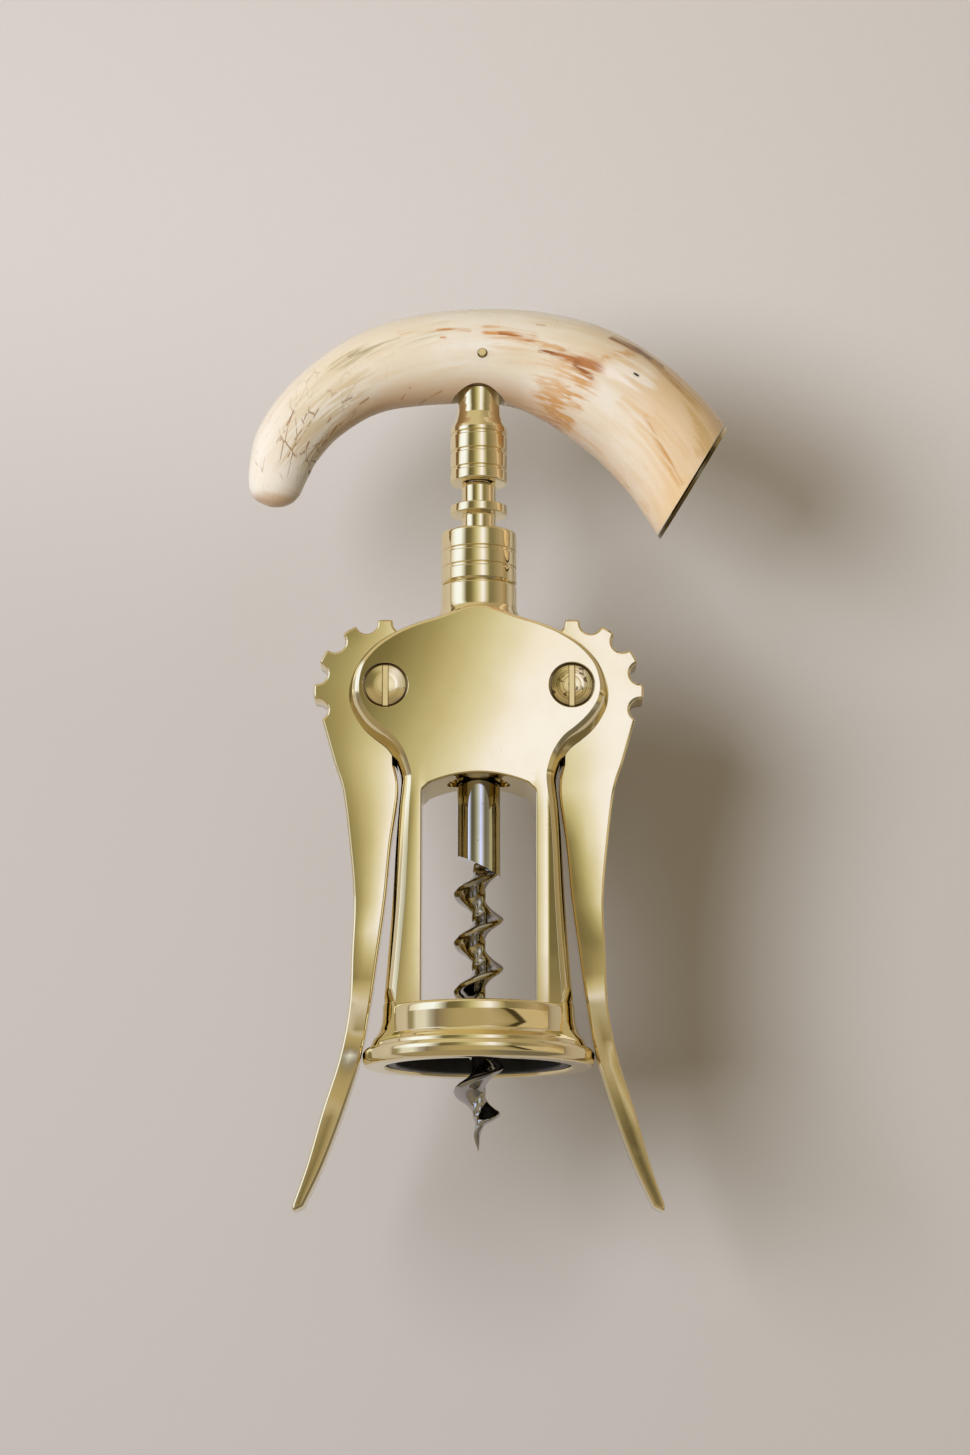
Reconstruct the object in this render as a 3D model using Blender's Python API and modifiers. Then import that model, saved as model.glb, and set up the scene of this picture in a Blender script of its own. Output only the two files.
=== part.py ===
"""Wing corkscrew with a tusk handle: a brass frame with a bell foot, two geared levers that work
a ringed rack, and a steel worm turned by the handle.

Metres, +Z up along the worm. X runs from lever to lever, and the front faces -Y. The origin is the
centre of the bell's foot plane, where the tool sits on a bottle. The levers are modelled lowered.
"""

import math

import bmesh
import bpy
from mathutils import Matrix, Vector

# Fits
JOINT_GAP = 0.0003
SMALL_GAP = 0.00015
OVERRUN = 0.0010
MERGE_DISTANCE = 0.00001
SMALL_STEPS = 16
SPINDLE_STEPS = 20
ROUND_STEPS = 32
BELL_STEPS = 40
TUSK_SIDE_RESOLUTION = 6

# Rack: rings on a tube that turns round the worm's stem
RACK_PITCH = 0.0068
RACK_RINGS = 8
RINGS_BELOW_PIVOT = 2
RACK_WALL = 0.00075
RACK_HEAD_LENGTH = 0.0056
RING_HEIGHT = 0.0023
RING_THICKNESS = 0.0019
RING_ADDENDUM = 0.0004
STEM_RADIUS = 0.00235
RACK_CORE_RADIUS = STEM_RADIUS + JOINT_GAP + RACK_WALL
RING_RADIUS = RACK_CORE_RADIUS + RING_HEIGHT

# Gears cut on the levers
GEAR_TEETH = 12
GEAR_PHASE = math.radians(1.0)
TOOTH_ADDENDUM = 0.0013
TOOTH_TIP_WIDTH = 0.0032
FIRST_TOOTH = -1
LAST_TOOTH = 6
PITCH_RADIUS = GEAR_TEETH * RACK_PITCH / (2 * math.pi)
GEAR_TIP_RADIUS = PITCH_RADIUS + TOOTH_ADDENDUM
NOTCH_RADIUS = (2 * math.pi * GEAR_TIP_RADIUS / GEAR_TEETH - TOOTH_TIP_WIDTH) / 2
GEAR_ROOT_RADIUS = math.sqrt(GEAR_TIP_RADIUS**2 - NOTCH_RADIUS**2) - NOTCH_RADIUS

# Pivots
PIVOT_HEIGHT = 0.0742
PIVOT_X = PITCH_RADIUS + RING_RADIUS - RING_ADDENDUM
LOW_RING = PIVOT_HEIGHT + (1 / 2 - RINGS_BELOW_PIVOT) * RACK_PITCH
RACK_TAIL = LOW_RING - RACK_PITCH / 2
TOP_RING = LOW_RING + (RACK_RINGS - 1) * RACK_PITCH
PIVOT_HEAD_RADIUS = 0.0041
PIVOT_HEAD_HEIGHT = 0.0018
PIVOT_HEAD_DOME = 0.0003
PIVOT_CROWN_SHARE = 0.55
PIVOT_SLOT_WIDTH = 0.0010
PIVOT_SLOT_DEPTH = 0.0007
PIVOT_SHANK_RADIUS = 0.0022
PIVOT_END_RECESS = 0.0004
SLEEVE_WALL = 0.0009
SLEEVE_RADIUS = PIVOT_SHANK_RADIUS + JOINT_GAP + SLEEVE_WALL

# Bell foot
BELL_RADIUS = 0.0185
BELL_HEIGHT = 0.0115
BELL_WALL = 0.0011
BELL_FLARE = 0.0042
BELL_FLARE_SHARE = 0.9
BELL_FLARE_POINTS = 4
BELL_EDGE = 0.0009
FOOT_FLANGE = 0.0041
FOOT_RING_HEIGHT = 0.0034
FOOT_EDGE = 0.0014
GROOVE_DEPTH = 0.0016
DECK_THICKNESS = 0.0022
FOOT_RING_RADIUS = BELL_RADIUS + FOOT_FLANGE
POCKET_RADIUS = BELL_RADIUS - BELL_WALL
POCKET_ROOF = BELL_HEIGHT - DECK_THICKNESS

# Liner pressed into the bell, with a rim in the mouth
LINER_WALL = 0.00105
LINER_ROOF = 0.0014
LINER_RECESS = 0.0005
LINER_RIM_WIDTH = 0.00075
LINER_RIM_HEIGHT = 0.0012
MOUTH_RADIUS = POCKET_RADIUS + LINER_RIM_WIDTH
MOUTH_DEPTH = LINER_RECESS + LINER_RIM_HEIGHT + JOINT_GAP

# Frame plate: two legs under a head of two cheeks, with a slot between them for the gears
LEVER_HALF_DEPTH = 0.0043
LEVER_SIDE_GAP = 0.0004
CHEEK_THICKNESS = 0.0048
GEAR_FLOOR_GAP = 0.0006
HEAD_FLOOR = 0.0026
WINDOW_CROWN = 0.0027
WINDOW_CROWN_SHARES = (0.66, 0.44, 0.22)
WINDOW_CORNER = 0.0012
WINDOW_EDGE = 0.0006
LEG_TOP_HALF_WIDTH = 0.0154
LEG_WIDTH = 0.0043
LEG_FOOT_STEP = 0.0002
CHEEK_REACH = 0.0075
HEAD_CROWN = 0.0178
CHEEK_ROUND = 0.0003
CHEEK_DRAFT = 0.0012
CHEEK_BEVEL = 0.0013
CHEEK_BEVEL_DEPTH = 0.0013
FLOOR_HOLE_CLEARANCE = 0.0005
FOOT_TRIM_HEIGHT = 0.0080
FOOT_TRIM_FLARE = 0.0022
SLOT_HALF_DEPTH = LEVER_HALF_DEPTH + LEVER_SIDE_GAP
FRAME_HALF_DEPTH = SLOT_HALF_DEPTH + CHEEK_THICKNESS
WINDOW_HALF_WIDTH = LEG_TOP_HALF_WIDTH - LEG_WIDTH
LEG_FOOT_HALF_WIDTH = BELL_RADIUS + LEG_FOOT_STEP
FLOOR_HOLE_RADIUS = RING_RADIUS + FLOOR_HOLE_CLEARANCE
HEAD_HALF_WIDTH = PIVOT_X + CHEEK_REACH
HEAD_TOP = PIVOT_HEIGHT + HEAD_CROWN
SLOT_FLOOR = PIVOT_HEIGHT - GEAR_TIP_RADIUS - GEAR_FLOOR_GAP
WINDOW_TOP = SLOT_FLOOR - HEAD_FLOOR
HEAD_BASE = WINDOW_TOP - WINDOW_CROWN

# Outline of the frame: share of the height, then share of the width, over the stretch named
LEG_FLARE_SHARES = ((0.0, 1.0), (0.27, 0.71), (0.50, 0.49), (0.74, 0.32), (0.91, 0.15), (1.0, 0.03))
CHEEK_LOWER_SHARES = (
    (0.11, 0.0), (0.20, 0.04), (0.305, 0.125), (0.413, 0.28), (0.495, 0.485),
    (0.60, 0.715), (0.733, 0.89), (0.85, 0.98), (1.0, 1.0),
)
CHEEK_UPPER_SHARES = (
    (0.197, 0.965), (0.354, 0.90), (0.515, 0.79), (0.645, 0.652), (0.718, 0.543),
    (0.77, 0.446), (0.832, 0.302), (0.92, 0.155), (1.0, 0.0),
)

# Neck of the frame, and the collar that screws into it
NECK_STUB = 0.0040
NECK_WALL = 0.000675
COLLAR_HEIGHT = 0.0110
COLLAR_EDGE = 0.0020
SPIGOT_WALL = 0.00065
SPIGOT_LENGTH = 0.0065
NECK_GROOVE_WIDTH = 0.0008
NECK_GROOVE_DEPTH = 0.0003
NECK_GROOVE_PITCH = 0.00338
COLLAR_GROOVES = 2
COLLAR_SCREW_RADIUS = 0.00048
COLLAR_SCREW_DROP = 0.0041
BORE_RADIUS = RING_RADIUS + JOINT_GAP
SPIGOT_RADIUS = BORE_RADIUS + SPIGOT_WALL
SOCKET_RADIUS = SPIGOT_RADIUS + SMALL_GAP + SMALL_GAP / 2
NECK_RADIUS = SOCKET_RADIUS + NECK_WALL
NECK_SEAM = HEAD_TOP + NECK_STUB
NECK_ROOT = PIVOT_HEIGHT + math.sqrt(
    GEAR_TIP_RADIUS**2 - (PIVOT_X - NECK_RADIUS - GEAR_FLOOR_GAP) ** 2
)

# Lever arms
LEVER_EDGE = 0.0006
HEEL_START = math.radians(-82)
HEEL_END = math.radians(-43)
ARM_HEEL_WIDTH = 0.0108
ARM_WAIST_WIDTH = 0.0062
ARM_RIM_WIDTH = 0.0041
ARM_TIP_WIDTH = 0.0022
ARM_TIP_DROP = 0.0281
ARM_TIP_SPREAD = 0.0130
ARM_LEG_GAP = 0.0012
ARM_FOOT_GAP = 0.0024
RIM_GAP = 0.0003
HEEL_GAP_SHARE = 0.75
KNEE_SHARES = (0.4, 0.54)
SHIN_REACH_SHARE = 0.30
SHIN_DROP_SHARE = 0.35
ANKLE_REACH_SHARE = 0.66
ANKLE_DROP_SHARE = 0.70

# Worm
WORM_RADIUS = 0.0049
WORM_CLEARANCE = 0.0007
WORM_HOLE_RADIUS = WORM_RADIUS + WORM_CLEARANCE
SHANK_STEP = 0.00065
SHANK_RADIUS = WORM_RADIUS - SHANK_STEP
SHANK_LENGTH = 0.0211
SHANK_END = RACK_TAIL - SHANK_LENGTH
SHANK_SLANT = math.radians(26)
WORM_CORE_RADIUS = 0.0014
WORM_PITCH = 0.00965
WORM_POINT_DROP = 0.0161
WORM_TAPER = 0.0105
WORM_START = 0.0040
WORM_PHASE_SHARE = -0.013
WORM_TAPER_SHARE = 0.8
BLADE_SHARES = ((0.0, 1.0), (0.06, 0.88), (0.13, 0.54), (0.22, 0.22), (0.34, 0.0), (0.5, 0.0))
LEVELS_PER_TURN = 12

# Ferrule under the handle
FERRULE_BASE = TOP_RING + RACK_HEAD_LENGTH
FERRULE_RADIUS = RING_RADIUS
FERRULE_BARREL = 0.0109
FERRULE_WAIST_RADIUS = 0.0042
FERRULE_HEIGHT = 0.0196
FERRULE_SEAT = FERRULE_BASE + FERRULE_HEIGHT
FERRULE_EDGE = 0.0004
FERRULE_GROOVE_WIDTH = 0.00076
FERRULE_GROOVE_DEPTH = 0.0003
FERRULE_FIRST_GROOVE = 0.0026
FERRULE_GROOVE_PITCH = 0.0036
FERRULE_GROOVES = 2
FERRULE_FLARE_SHARES = ((0.0, 1.0), (0.06, 0.87), (0.16, 0.47), (0.32, 0.13), (0.55, 0.0), (1.0, 0.03))
TANG_RADIUS = 0.0026
TANG_LENGTH = 0.0125
STEM_SOCKET_DEPTH = 0.0100

# Tusk handle: share of the span, share of the rise from the seat, share of the girth
TUSK_SPAN = 0.0955
TUSK_RISE = 0.0480
TUSK_GIRTH = 0.0240
TUSK_FLATNESS = 0.86
TUSK_SPINE_SHARES = (
    (-0.4385, -0.502, 0.02), (-0.437, -0.4885, 0.117), (-0.4346, -0.4646, 0.182), (-0.4314, -0.437, 0.213),
    (-0.4277, -0.408, 0.231), (-0.4188, -0.334, 0.258), (-0.40, -0.229, 0.286), (-0.355, -0.105, 0.304),
    (-0.2927, 0.001, 0.322), (-0.2314, 0.072, 0.347), (-0.1623, 0.1156, 0.374), (-0.0686, 0.1427, 0.396),
    (0.0241, 0.148, 0.404), (0.109, 0.129, 0.425), (0.1875, 0.078, 0.463), (0.247, 0.016, 0.487),
    (0.2995, -0.057, 0.496), (0.352, -0.149, 0.50), (0.409, -0.279, 0.50), (0.450, -0.415, 0.479),
    (0.488, -0.548, 0.467), (0.529, -0.6875, 0.458),
)
CUT_SPAN_SHARE = 0.4513
CUT_DROP_SHARE = 0.4083
CUT_LEAN = math.radians(30.8)
CUT_X = TUSK_SPAN * CUT_SPAN_SHARE
SPOT_RADIUS = 0.0055
CAVITY_RADIUS = 0.0070
CAVITY_DEPTH = 0.0210
CAVITY_ROUND_SHARE = 0.9
PLUG_RECESS = 0.0006
END_CAP_THICKNESS = 0.0011
TUSK_PIN_RADIUS = 0.00083
TUSK_PIN_X = 0.0007
TUSK_PIN_RISE = 0.0077
TUSK_PIN_RECESS = 0.0004

parts = bpy.data.collections.new("wing_corkscrew")
cutters = bpy.data.collections.new("cutters")


def clear_scene():
    for thing in list(bpy.data.objects):
        bpy.data.objects.remove(thing, do_unlink=True)
    for collection in (parts, cutters):
        bpy.context.scene.collection.children.link(collection)


def material(name, colour, roughness, metallic):
    made = bpy.data.materials.new(name)
    made.use_nodes = True
    shader = made.node_tree.nodes["Principled BSDF"]
    shader.inputs["Base Color"].default_value = (*colour, 1.0)
    shader.inputs["Roughness"].default_value = roughness
    shader.inputs["Metallic"].default_value = metallic
    return made


def brass(name):
    return material(name, (0.80, 0.66, 0.34), 0.12, 1.0)


def steel(name):
    return material(name, (0.62, 0.62, 0.64), 0.14, 1.0)


def add_object(name, mesh, finish=None):
    """A mesh object among the parts, or a hidden cutter where no finish is given."""
    thing = bpy.data.objects.new(name, mesh)
    if finish is None:
        cutters.objects.link(thing)
        thing.hide_render = True
        thing.display_type = "WIRE"
    else:
        parts.objects.link(thing)
        mesh.materials.append(finish)
    return thing


def shade(thing):
    for face in thing.data.polygons:
        face.use_smooth = True
    thing.data.set_sharp_from_angle(angle=math.radians(35))
    return thing


def combine(target, other, operation):
    step = target.modifiers.new(operation.lower() + "_" + other.name, "BOOLEAN")
    step.operation = operation
    step.solver = "EXACT"
    step.object = other
    return target


def cut(target, *others):
    for other in others:
        combine(target, other, "DIFFERENCE")
    return target


def join(target, *others):
    for other in others:
        combine(target, other, "UNION")
    return target


def turned(name, outline, finish=None, steps=ROUND_STEPS):
    """A body turned about Z from a closed outline of (radius, height), outer side first, downwards.
    A run of the outline along the axis is left out, because the axis closes it."""
    mesh = bpy.data.meshes.new(name)
    corners = [(radius, 0.0, height) for radius, height in outline]
    edges = [(index, index + 1) for index in range(len(corners) - 1)]
    if outline[0][0] > 0.0:
        edges.append((len(corners) - 1, 0))
    mesh.from_pydata(corners, edges, [])
    thing = add_object(name, mesh, finish)
    screw = thing.modifiers.new("turn", "SCREW")
    screw.steps = steps
    screw.render_steps = steps
    screw.use_merge_vertices = True
    screw.merge_threshold = MERGE_DISTANCE
    screw.use_smooth_shade = True
    return thing


def rod(name, radius, start, end, finish=None, steps=ROUND_STEPS):
    """A round bar from start to end."""
    shape = bmesh.new()
    run = Vector(end) - Vector(start)
    turn = run.to_track_quat("Z", "Y").to_matrix().to_4x4()
    place = Matrix.Translation((Vector(start) + Vector(end)) / 2) @ turn
    bmesh.ops.create_cone(
        shape, cap_ends=True, segments=steps, radius1=radius, radius2=radius, depth=run.length, matrix=place
    )
    mesh = bpy.data.meshes.new(name)
    shape.to_mesh(mesh)
    shape.free()
    return shade(add_object(name, mesh, finish))


def block(name, low, high, finish=None, turn=None):
    """A box between two corners, turned about the world origin where a matrix is given."""
    shape = bmesh.new()
    bmesh.ops.create_cube(shape, size=1.0)
    size = Vector(high) - Vector(low)
    place = Matrix.Translation((Vector(low) + Vector(high)) / 2) @ Matrix.Diagonal((*size, 1.0))
    bmesh.ops.transform(shape, matrix=(turn or Matrix.Identity(4)) @ place, verts=shape.verts)
    mesh = bpy.data.meshes.new(name)
    shape.to_mesh(mesh)
    shape.free()
    return add_object(name, mesh, finish)


def loft(name, rings, finish=None):
    """A closed skin over rings of equally many points, capped at both ends."""
    shape = bmesh.new()
    rows = [[shape.verts.new(point) for point in ring] for ring in rings]
    for lower, upper in zip(rows, rows[1:]):
        for index, corner in enumerate(lower):
            shape.faces.new((lower[index - 1], corner, upper[index], upper[index - 1]))
    shape.faces.new(rows[0])
    shape.faces.new(rows[-1])
    bmesh.ops.recalc_face_normals(shape, faces=shape.faces)
    mesh = bpy.data.meshes.new(name)
    shape.to_mesh(mesh)
    shape.free()
    return shade(add_object(name, mesh, finish))


def smooth(points, per_span):
    """Points along a Catmull-Rom curve through the given ones, which may have any number of axes."""
    made = []
    for index in range(len(points) - 1):
        before = Vector(points[max(index - 1, 0)])
        start = Vector(points[index])
        end = Vector(points[index + 1])
        after = Vector(points[min(index + 2, len(points) - 1)])
        for step in range(per_span):
            t = step / per_span
            made.append(
                0.5 * (2 * start + (end - before) * t + (2 * before - 5 * start + 4 * end - after) * t**2
                       + (3 * start - before - 3 * end + after) * t**3)
            )
    made.append(Vector(points[-1]))
    return made


def inset(outline, distance):
    """The closed outline moved inwards by distance, whichever way round it runs."""
    count = len(outline)
    area = sum(
        outline[i - 1][0] * outline[i][1] - outline[i][0] * outline[i - 1][1] for i in range(count)
    )
    side = 1.0 if area > 0 else -1.0
    moved = []
    for index in range(count):
        here = Vector(outline[index])
        came = (here - Vector(outline[index - 1])).normalized()
        goes = (Vector(outline[(index + 1) % count]) - here).normalized()
        inward_a = Vector((-came.y, came.x)) * side
        inward_b = Vector((-goes.y, goes.x)) * side
        moved.append(here + (inward_a + inward_b) * distance / (1.0 + inward_a.dot(inward_b)))
    return moved


def plate(name, outline, levels, finish=None):
    """A plate in the XZ plane. Each level gives a depth along Y and how far the outline draws in there."""
    rings = [[(p.x, depth, p.y) for p in inset(outline, draw)] for depth, draw in levels]
    return loft(name, rings, finish)


def both_ways(levels):
    """The levels of the front half, then the same ones behind it."""
    return [(-depth, draw) for depth, draw in levels] + [(depth, draw) for depth, draw in reversed(levels)]


def arc(centre, radius, start, end, steps):
    """Points on an arc in the plane, from one angle to the other."""
    angles = [start + (end - start) * step / steps for step in range(steps + 1)]
    return [Vector((centre[0] + radius * math.cos(a), centre[1] + radius * math.sin(a))) for a in angles]


def between(shares, share):
    """The second value of a table of pairs, at a given first value."""
    for (low, first), (high, second) in zip(shares, shares[1:]):
        if share <= high:
            return first + (second - first) * (share - low) / (high - low)
    return shares[-1][1]


def leg_outer(height):
    """Half the width across the legs at a height above the foot plane."""
    share = (height - BELL_HEIGHT) / (HEAD_BASE - BELL_HEIGHT)
    flare = between(LEG_FLARE_SHARES, min(max(share, 0.0), 1.0))
    return LEG_TOP_HALF_WIDTH + (LEG_FOOT_HALF_WIDTH - LEG_TOP_HALF_WIDTH) * flare


def grooves(radius, start, pitch, width, depth, count):
    """Turned points of square grooves below one another, the first centred at the height start."""
    points = []
    for index in range(count):
        middle = start - index * pitch
        points += [
            (radius, middle + width / 2),
            (radius - depth, middle + width / 4),
            (radius - depth, middle - width / 4),
            (radius, middle - width / 2),
        ]
    return points


def bell_body():
    """The turned foot: a ring, a groove, a flare and a flat deck with the worm's hole."""
    neck = FOOT_RING_RADIUS - GROOVE_DEPTH
    wall_end = FOOT_RING_HEIGHT + BELL_FLARE
    outline = [
        (BELL_RADIUS - BELL_EDGE, BELL_HEIGHT),
        (BELL_RADIUS - BELL_EDGE / 3, BELL_HEIGHT - BELL_EDGE / 3),
        (BELL_RADIUS, BELL_HEIGHT - BELL_EDGE),
        (BELL_RADIUS, wall_end),
    ]
    for step in range(1, BELL_FLARE_POINTS + 1):
        angle = step / BELL_FLARE_POINTS * math.pi / 2
        outline.append((
            BELL_RADIUS + (neck - BELL_RADIUS) * (1 - math.cos(angle)),
            wall_end - BELL_FLARE * BELL_FLARE_SHARE * math.sin(angle),
        ))
    outline.append((neck, FOOT_RING_HEIGHT))
    ring_middle = (FOOT_RING_RADIUS - FOOT_EDGE, FOOT_RING_HEIGHT / 2 + SMALL_GAP)
    outline += arc(ring_middle, FOOT_EDGE, math.pi / 2, -math.pi / 2, 6)
    outline += [
        (FOOT_RING_RADIUS - FOOT_EDGE - SMALL_GAP, 0.0),
        (MOUTH_RADIUS + JOINT_GAP, 0.0),
        (MOUTH_RADIUS, JOINT_GAP),
        (MOUTH_RADIUS, MOUTH_DEPTH),
        (POCKET_RADIUS, MOUTH_DEPTH),
        (POCKET_RADIUS, POCKET_ROOF),
        (WORM_HOLE_RADIUS, POCKET_ROOF),
        (WORM_HOLE_RADIUS, BELL_HEIGHT),
    ]
    return turned("bell_body", outline, steps=BELL_STEPS)


def frame_outline():
    """The outer edge of the frame plate, from the deck up the right side and down the left."""
    rise = HEAD_BASE - BELL_HEIGHT
    right = [(leg_outer(BELL_HEIGHT + rise * u), BELL_HEIGHT + rise * u) for u, _ in LEG_FLARE_SHARES]
    lower = PIVOT_HEIGHT - HEAD_BASE
    bulge = HEAD_HALF_WIDTH - LEG_TOP_HALF_WIDTH
    right += [(LEG_TOP_HALF_WIDTH + bulge * w, HEAD_BASE + lower * u) for u, w in CHEEK_LOWER_SHARES]
    right += [(HEAD_HALF_WIDTH * w, PIVOT_HEIGHT + HEAD_CROWN * u) for u, w in CHEEK_UPPER_SHARES]
    right = smooth(right, 2)
    foot = POCKET_ROOF - CHEEK_ROUND - CHEEK_DRAFT - CHEEK_BEVEL
    left = [Vector((-p.x, p.y)) for p in reversed(right[:-1])]
    return [Vector((right[0].x, foot))] + right + left + [Vector((-right[0].x, foot))]


def window_outline():
    """The opening between the legs, with an arched top and small corner rounds."""
    right = [
        (WINDOW_HALF_WIDTH, POCKET_ROOF),
        (WINDOW_HALF_WIDTH, HEAD_BASE - WINDOW_CORNER),
        (WINDOW_HALF_WIDTH - WINDOW_CORNER / 3, HEAD_BASE - WINDOW_CORNER / 3),
        (WINDOW_HALF_WIDTH - WINDOW_CORNER, HEAD_BASE),
    ]
    right += [(WINDOW_HALF_WIDTH * w, HEAD_BASE + WINDOW_CROWN * (1 - w * w)) for w in WINDOW_CROWN_SHARES]
    left = [(-x, z) for x, z in reversed(right)]
    return [Vector(p) for p in right + [(0.0, WINDOW_TOP)] + left]


def foot_envelope():
    """A turned body that trims the feet of the legs flush with the bell."""
    wide = HEAD_HALF_WIDTH + FRAME_HALF_DEPTH
    rim = BELL_HEIGHT + FOOT_TRIM_HEIGHT
    low = BELL_HEIGHT - DECK_THICKNESS / 2
    outline = [
        (0.0, HEAD_TOP + OVERRUN),
        (wide, HEAD_TOP + OVERRUN),
        (wide, rim),
        (BELL_RADIUS + FOOT_TRIM_FLARE, rim),
        (BELL_RADIUS + FOOT_TRIM_FLARE / 3, rim - FOOT_TRIM_HEIGHT / 2),
        (BELL_RADIUS, BELL_HEIGHT),
        (BELL_RADIUS - SMALL_GAP, BELL_HEIGHT - BELL_EDGE),
        (BELL_RADIUS - SMALL_GAP, low),
        (0.0, low),
    ]
    return turned("foot_envelope", outline, steps=BELL_STEPS)


def neck_body():
    """The round neck up to the seam, with the lowest groove formed at the seam itself."""
    outline = [
        (0.0, NECK_SEAM),
        (NECK_RADIUS - NECK_GROOVE_DEPTH, NECK_SEAM),
        (NECK_RADIUS, NECK_SEAM - NECK_GROOVE_WIDTH / 2),
        (NECK_RADIUS, NECK_ROOT),
        (0.0, NECK_ROOT),
    ]
    neck = turned("neck_body", outline)
    neck.rotation_euler.z = math.pi / ROUND_STEPS
    return neck


def spindle_bore():
    """The stepped bore for the rack: floor hole, running bore, then the collar's socket."""
    top = NECK_SEAM + OVERRUN
    socket_floor = NECK_SEAM - SPIGOT_LENGTH
    bore_floor = SLOT_FLOOR + OVERRUN
    bottom = HEAD_BASE - OVERRUN
    outline = [
        (0.0, top),
        (SOCKET_RADIUS, top),
        (SOCKET_RADIUS, socket_floor),
        (BORE_RADIUS, socket_floor),
        (BORE_RADIUS, bore_floor),
        (FLOOR_HOLE_RADIUS, bore_floor),
        (FLOOR_HOLE_RADIUS, bottom),
        (0.0, bottom),
    ]
    return turned("spindle_bore", outline)


def make_frame():
    """The cast and machined body that every other piece is mounted on."""
    flat = FRAME_HALF_DEPTH - CHEEK_BEVEL_DEPTH
    levels = both_ways([
        (FRAME_HALF_DEPTH, CHEEK_ROUND + CHEEK_DRAFT + CHEEK_BEVEL),
        (flat, CHEEK_ROUND + CHEEK_DRAFT),
        ((flat + SLOT_HALF_DEPTH) / 2, CHEEK_ROUND + CHEEK_DRAFT / 3),
        (SLOT_HALF_DEPTH, CHEEK_ROUND),
    ])
    frame = plate("frame", frame_outline(), levels, brass("frame_brass"))
    flare = both_ways([
        (FRAME_HALF_DEPTH + WINDOW_EDGE, -WINDOW_EDGE * 2),
        (FRAME_HALF_DEPTH - WINDOW_EDGE, 0.0),
    ])
    opening = plate("window_cutter", window_outline(), flare)
    reach = HEAD_HALF_WIDTH + OVERRUN
    low = (-reach, -SLOT_HALF_DEPTH, SLOT_FLOOR)
    slot = block("slot_cutter", low, (reach, SLOT_HALF_DEPTH, HEAD_TOP + OVERRUN))
    combine(frame, foot_envelope(), "INTERSECT")
    cut(frame, opening, slot)
    join(frame, bell_body(), neck_body())
    cut(frame, spindle_bore())
    for side, label in ((-1, "left"), (1, "right")):
        cut(
            frame,
            pivot_rod(
                "head_cutter_" + label, PIVOT_HEAD_RADIUS + JOINT_GAP, side,
                -FRAME_HALF_DEPTH - OVERRUN, PIVOT_HEAD_HEIGHT - FRAME_HALF_DEPTH, ROUND_STEPS,
            ),
            pivot_rod(
                "shank_cutter_" + label, PIVOT_SHANK_RADIUS + JOINT_GAP, side,
                -FRAME_HALF_DEPTH, FRAME_HALF_DEPTH + OVERRUN, SMALL_STEPS,
            ),
            screw_hole("frame_screw_cutter_" + label, side),
        )
    return frame


def pivot_rod(name, radius, side, front, back, steps):
    """A bar on the axis of one pivot, between two depths along Y."""
    x = side * PIVOT_X
    return rod(name, radius, (x, front, PIVOT_HEIGHT), (x, back, PIVOT_HEIGHT), steps=steps)


def screw_hole(name, side):
    height = NECK_SEAM - COLLAR_SCREW_DROP
    inner = side * (BORE_RADIUS - OVERRUN)
    outer = side * (NECK_RADIUS + OVERRUN)
    return rod(
        name, COLLAR_SCREW_RADIUS + SMALL_GAP, (inner, 0.0, height), (outer, 0.0, height), steps=SMALL_STEPS
    )


def make_collar():
    """The grooved collar, with a spigot that screws into the neck and guides the rack."""
    top = NECK_SEAM + COLLAR_HEIGHT
    base = NECK_SEAM + JOINT_GAP
    tail = base - SPIGOT_LENGTH
    outline = [
        (NECK_RADIUS - COLLAR_EDGE / 2, top),
        (NECK_RADIUS - COLLAR_EDGE / 6, top - COLLAR_EDGE / 3),
        (NECK_RADIUS, top - COLLAR_EDGE),
    ]
    outline += grooves(
        NECK_RADIUS, NECK_SEAM + COLLAR_GROOVES * NECK_GROOVE_PITCH, NECK_GROOVE_PITCH,
        NECK_GROOVE_WIDTH, NECK_GROOVE_DEPTH, COLLAR_GROOVES,
    )
    outline += [
        (NECK_RADIUS, base + NECK_GROOVE_WIDTH / 2),
        (NECK_RADIUS - NECK_GROOVE_DEPTH, base),
        (SPIGOT_RADIUS, base),
        (SPIGOT_RADIUS, tail),
        (BORE_RADIUS, tail),
        (BORE_RADIUS, top),
    ]
    collar = turned("neck_collar", outline, brass("collar_brass"))
    return cut(collar, screw_hole("collar_hole_left", -1), screw_hole("collar_hole_right", 1))


def make_collar_screws():
    """Two headless screws that lock the collar in the neck."""
    height = NECK_SEAM - COLLAR_SCREW_DROP
    for side, label in ((-1, "left"), (1, "right")):
        rod(
            "collar_screw_" + label, COLLAR_SCREW_RADIUS,
            (side * (BORE_RADIUS + SMALL_GAP), 0.0, height),
            (side * (NECK_RADIUS - SMALL_GAP), 0.0, height),
            material("screw_steel_" + label, (0.16, 0.14, 0.12), 0.4, 1.0), SMALL_STEPS,
        )


def make_liner():
    """The black cup pressed into the bell, which rests on the bottle. Its rim fills the mouth."""
    rim = MOUTH_RADIUS - JOINT_GAP
    rim_top = LINER_RECESS + LINER_RIM_HEIGHT
    outer = POCKET_RADIUS - JOINT_GAP
    inner = outer - LINER_WALL
    roof = POCKET_ROOF - JOINT_GAP
    hole = WORM_HOLE_RADIUS + SMALL_GAP
    outline = [
        (outer, roof),
        (outer, rim_top),
        (rim, rim_top),
        (rim, LINER_RECESS),
        (inner, LINER_RECESS),
        (inner, roof - LINER_ROOF),
        (hole, roof - LINER_ROOF),
        (hole, roof),
    ]
    return turned("bell_liner", outline, material("liner_black", (0.02, 0.02, 0.02), 0.45, 0.0), BELL_STEPS)


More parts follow.
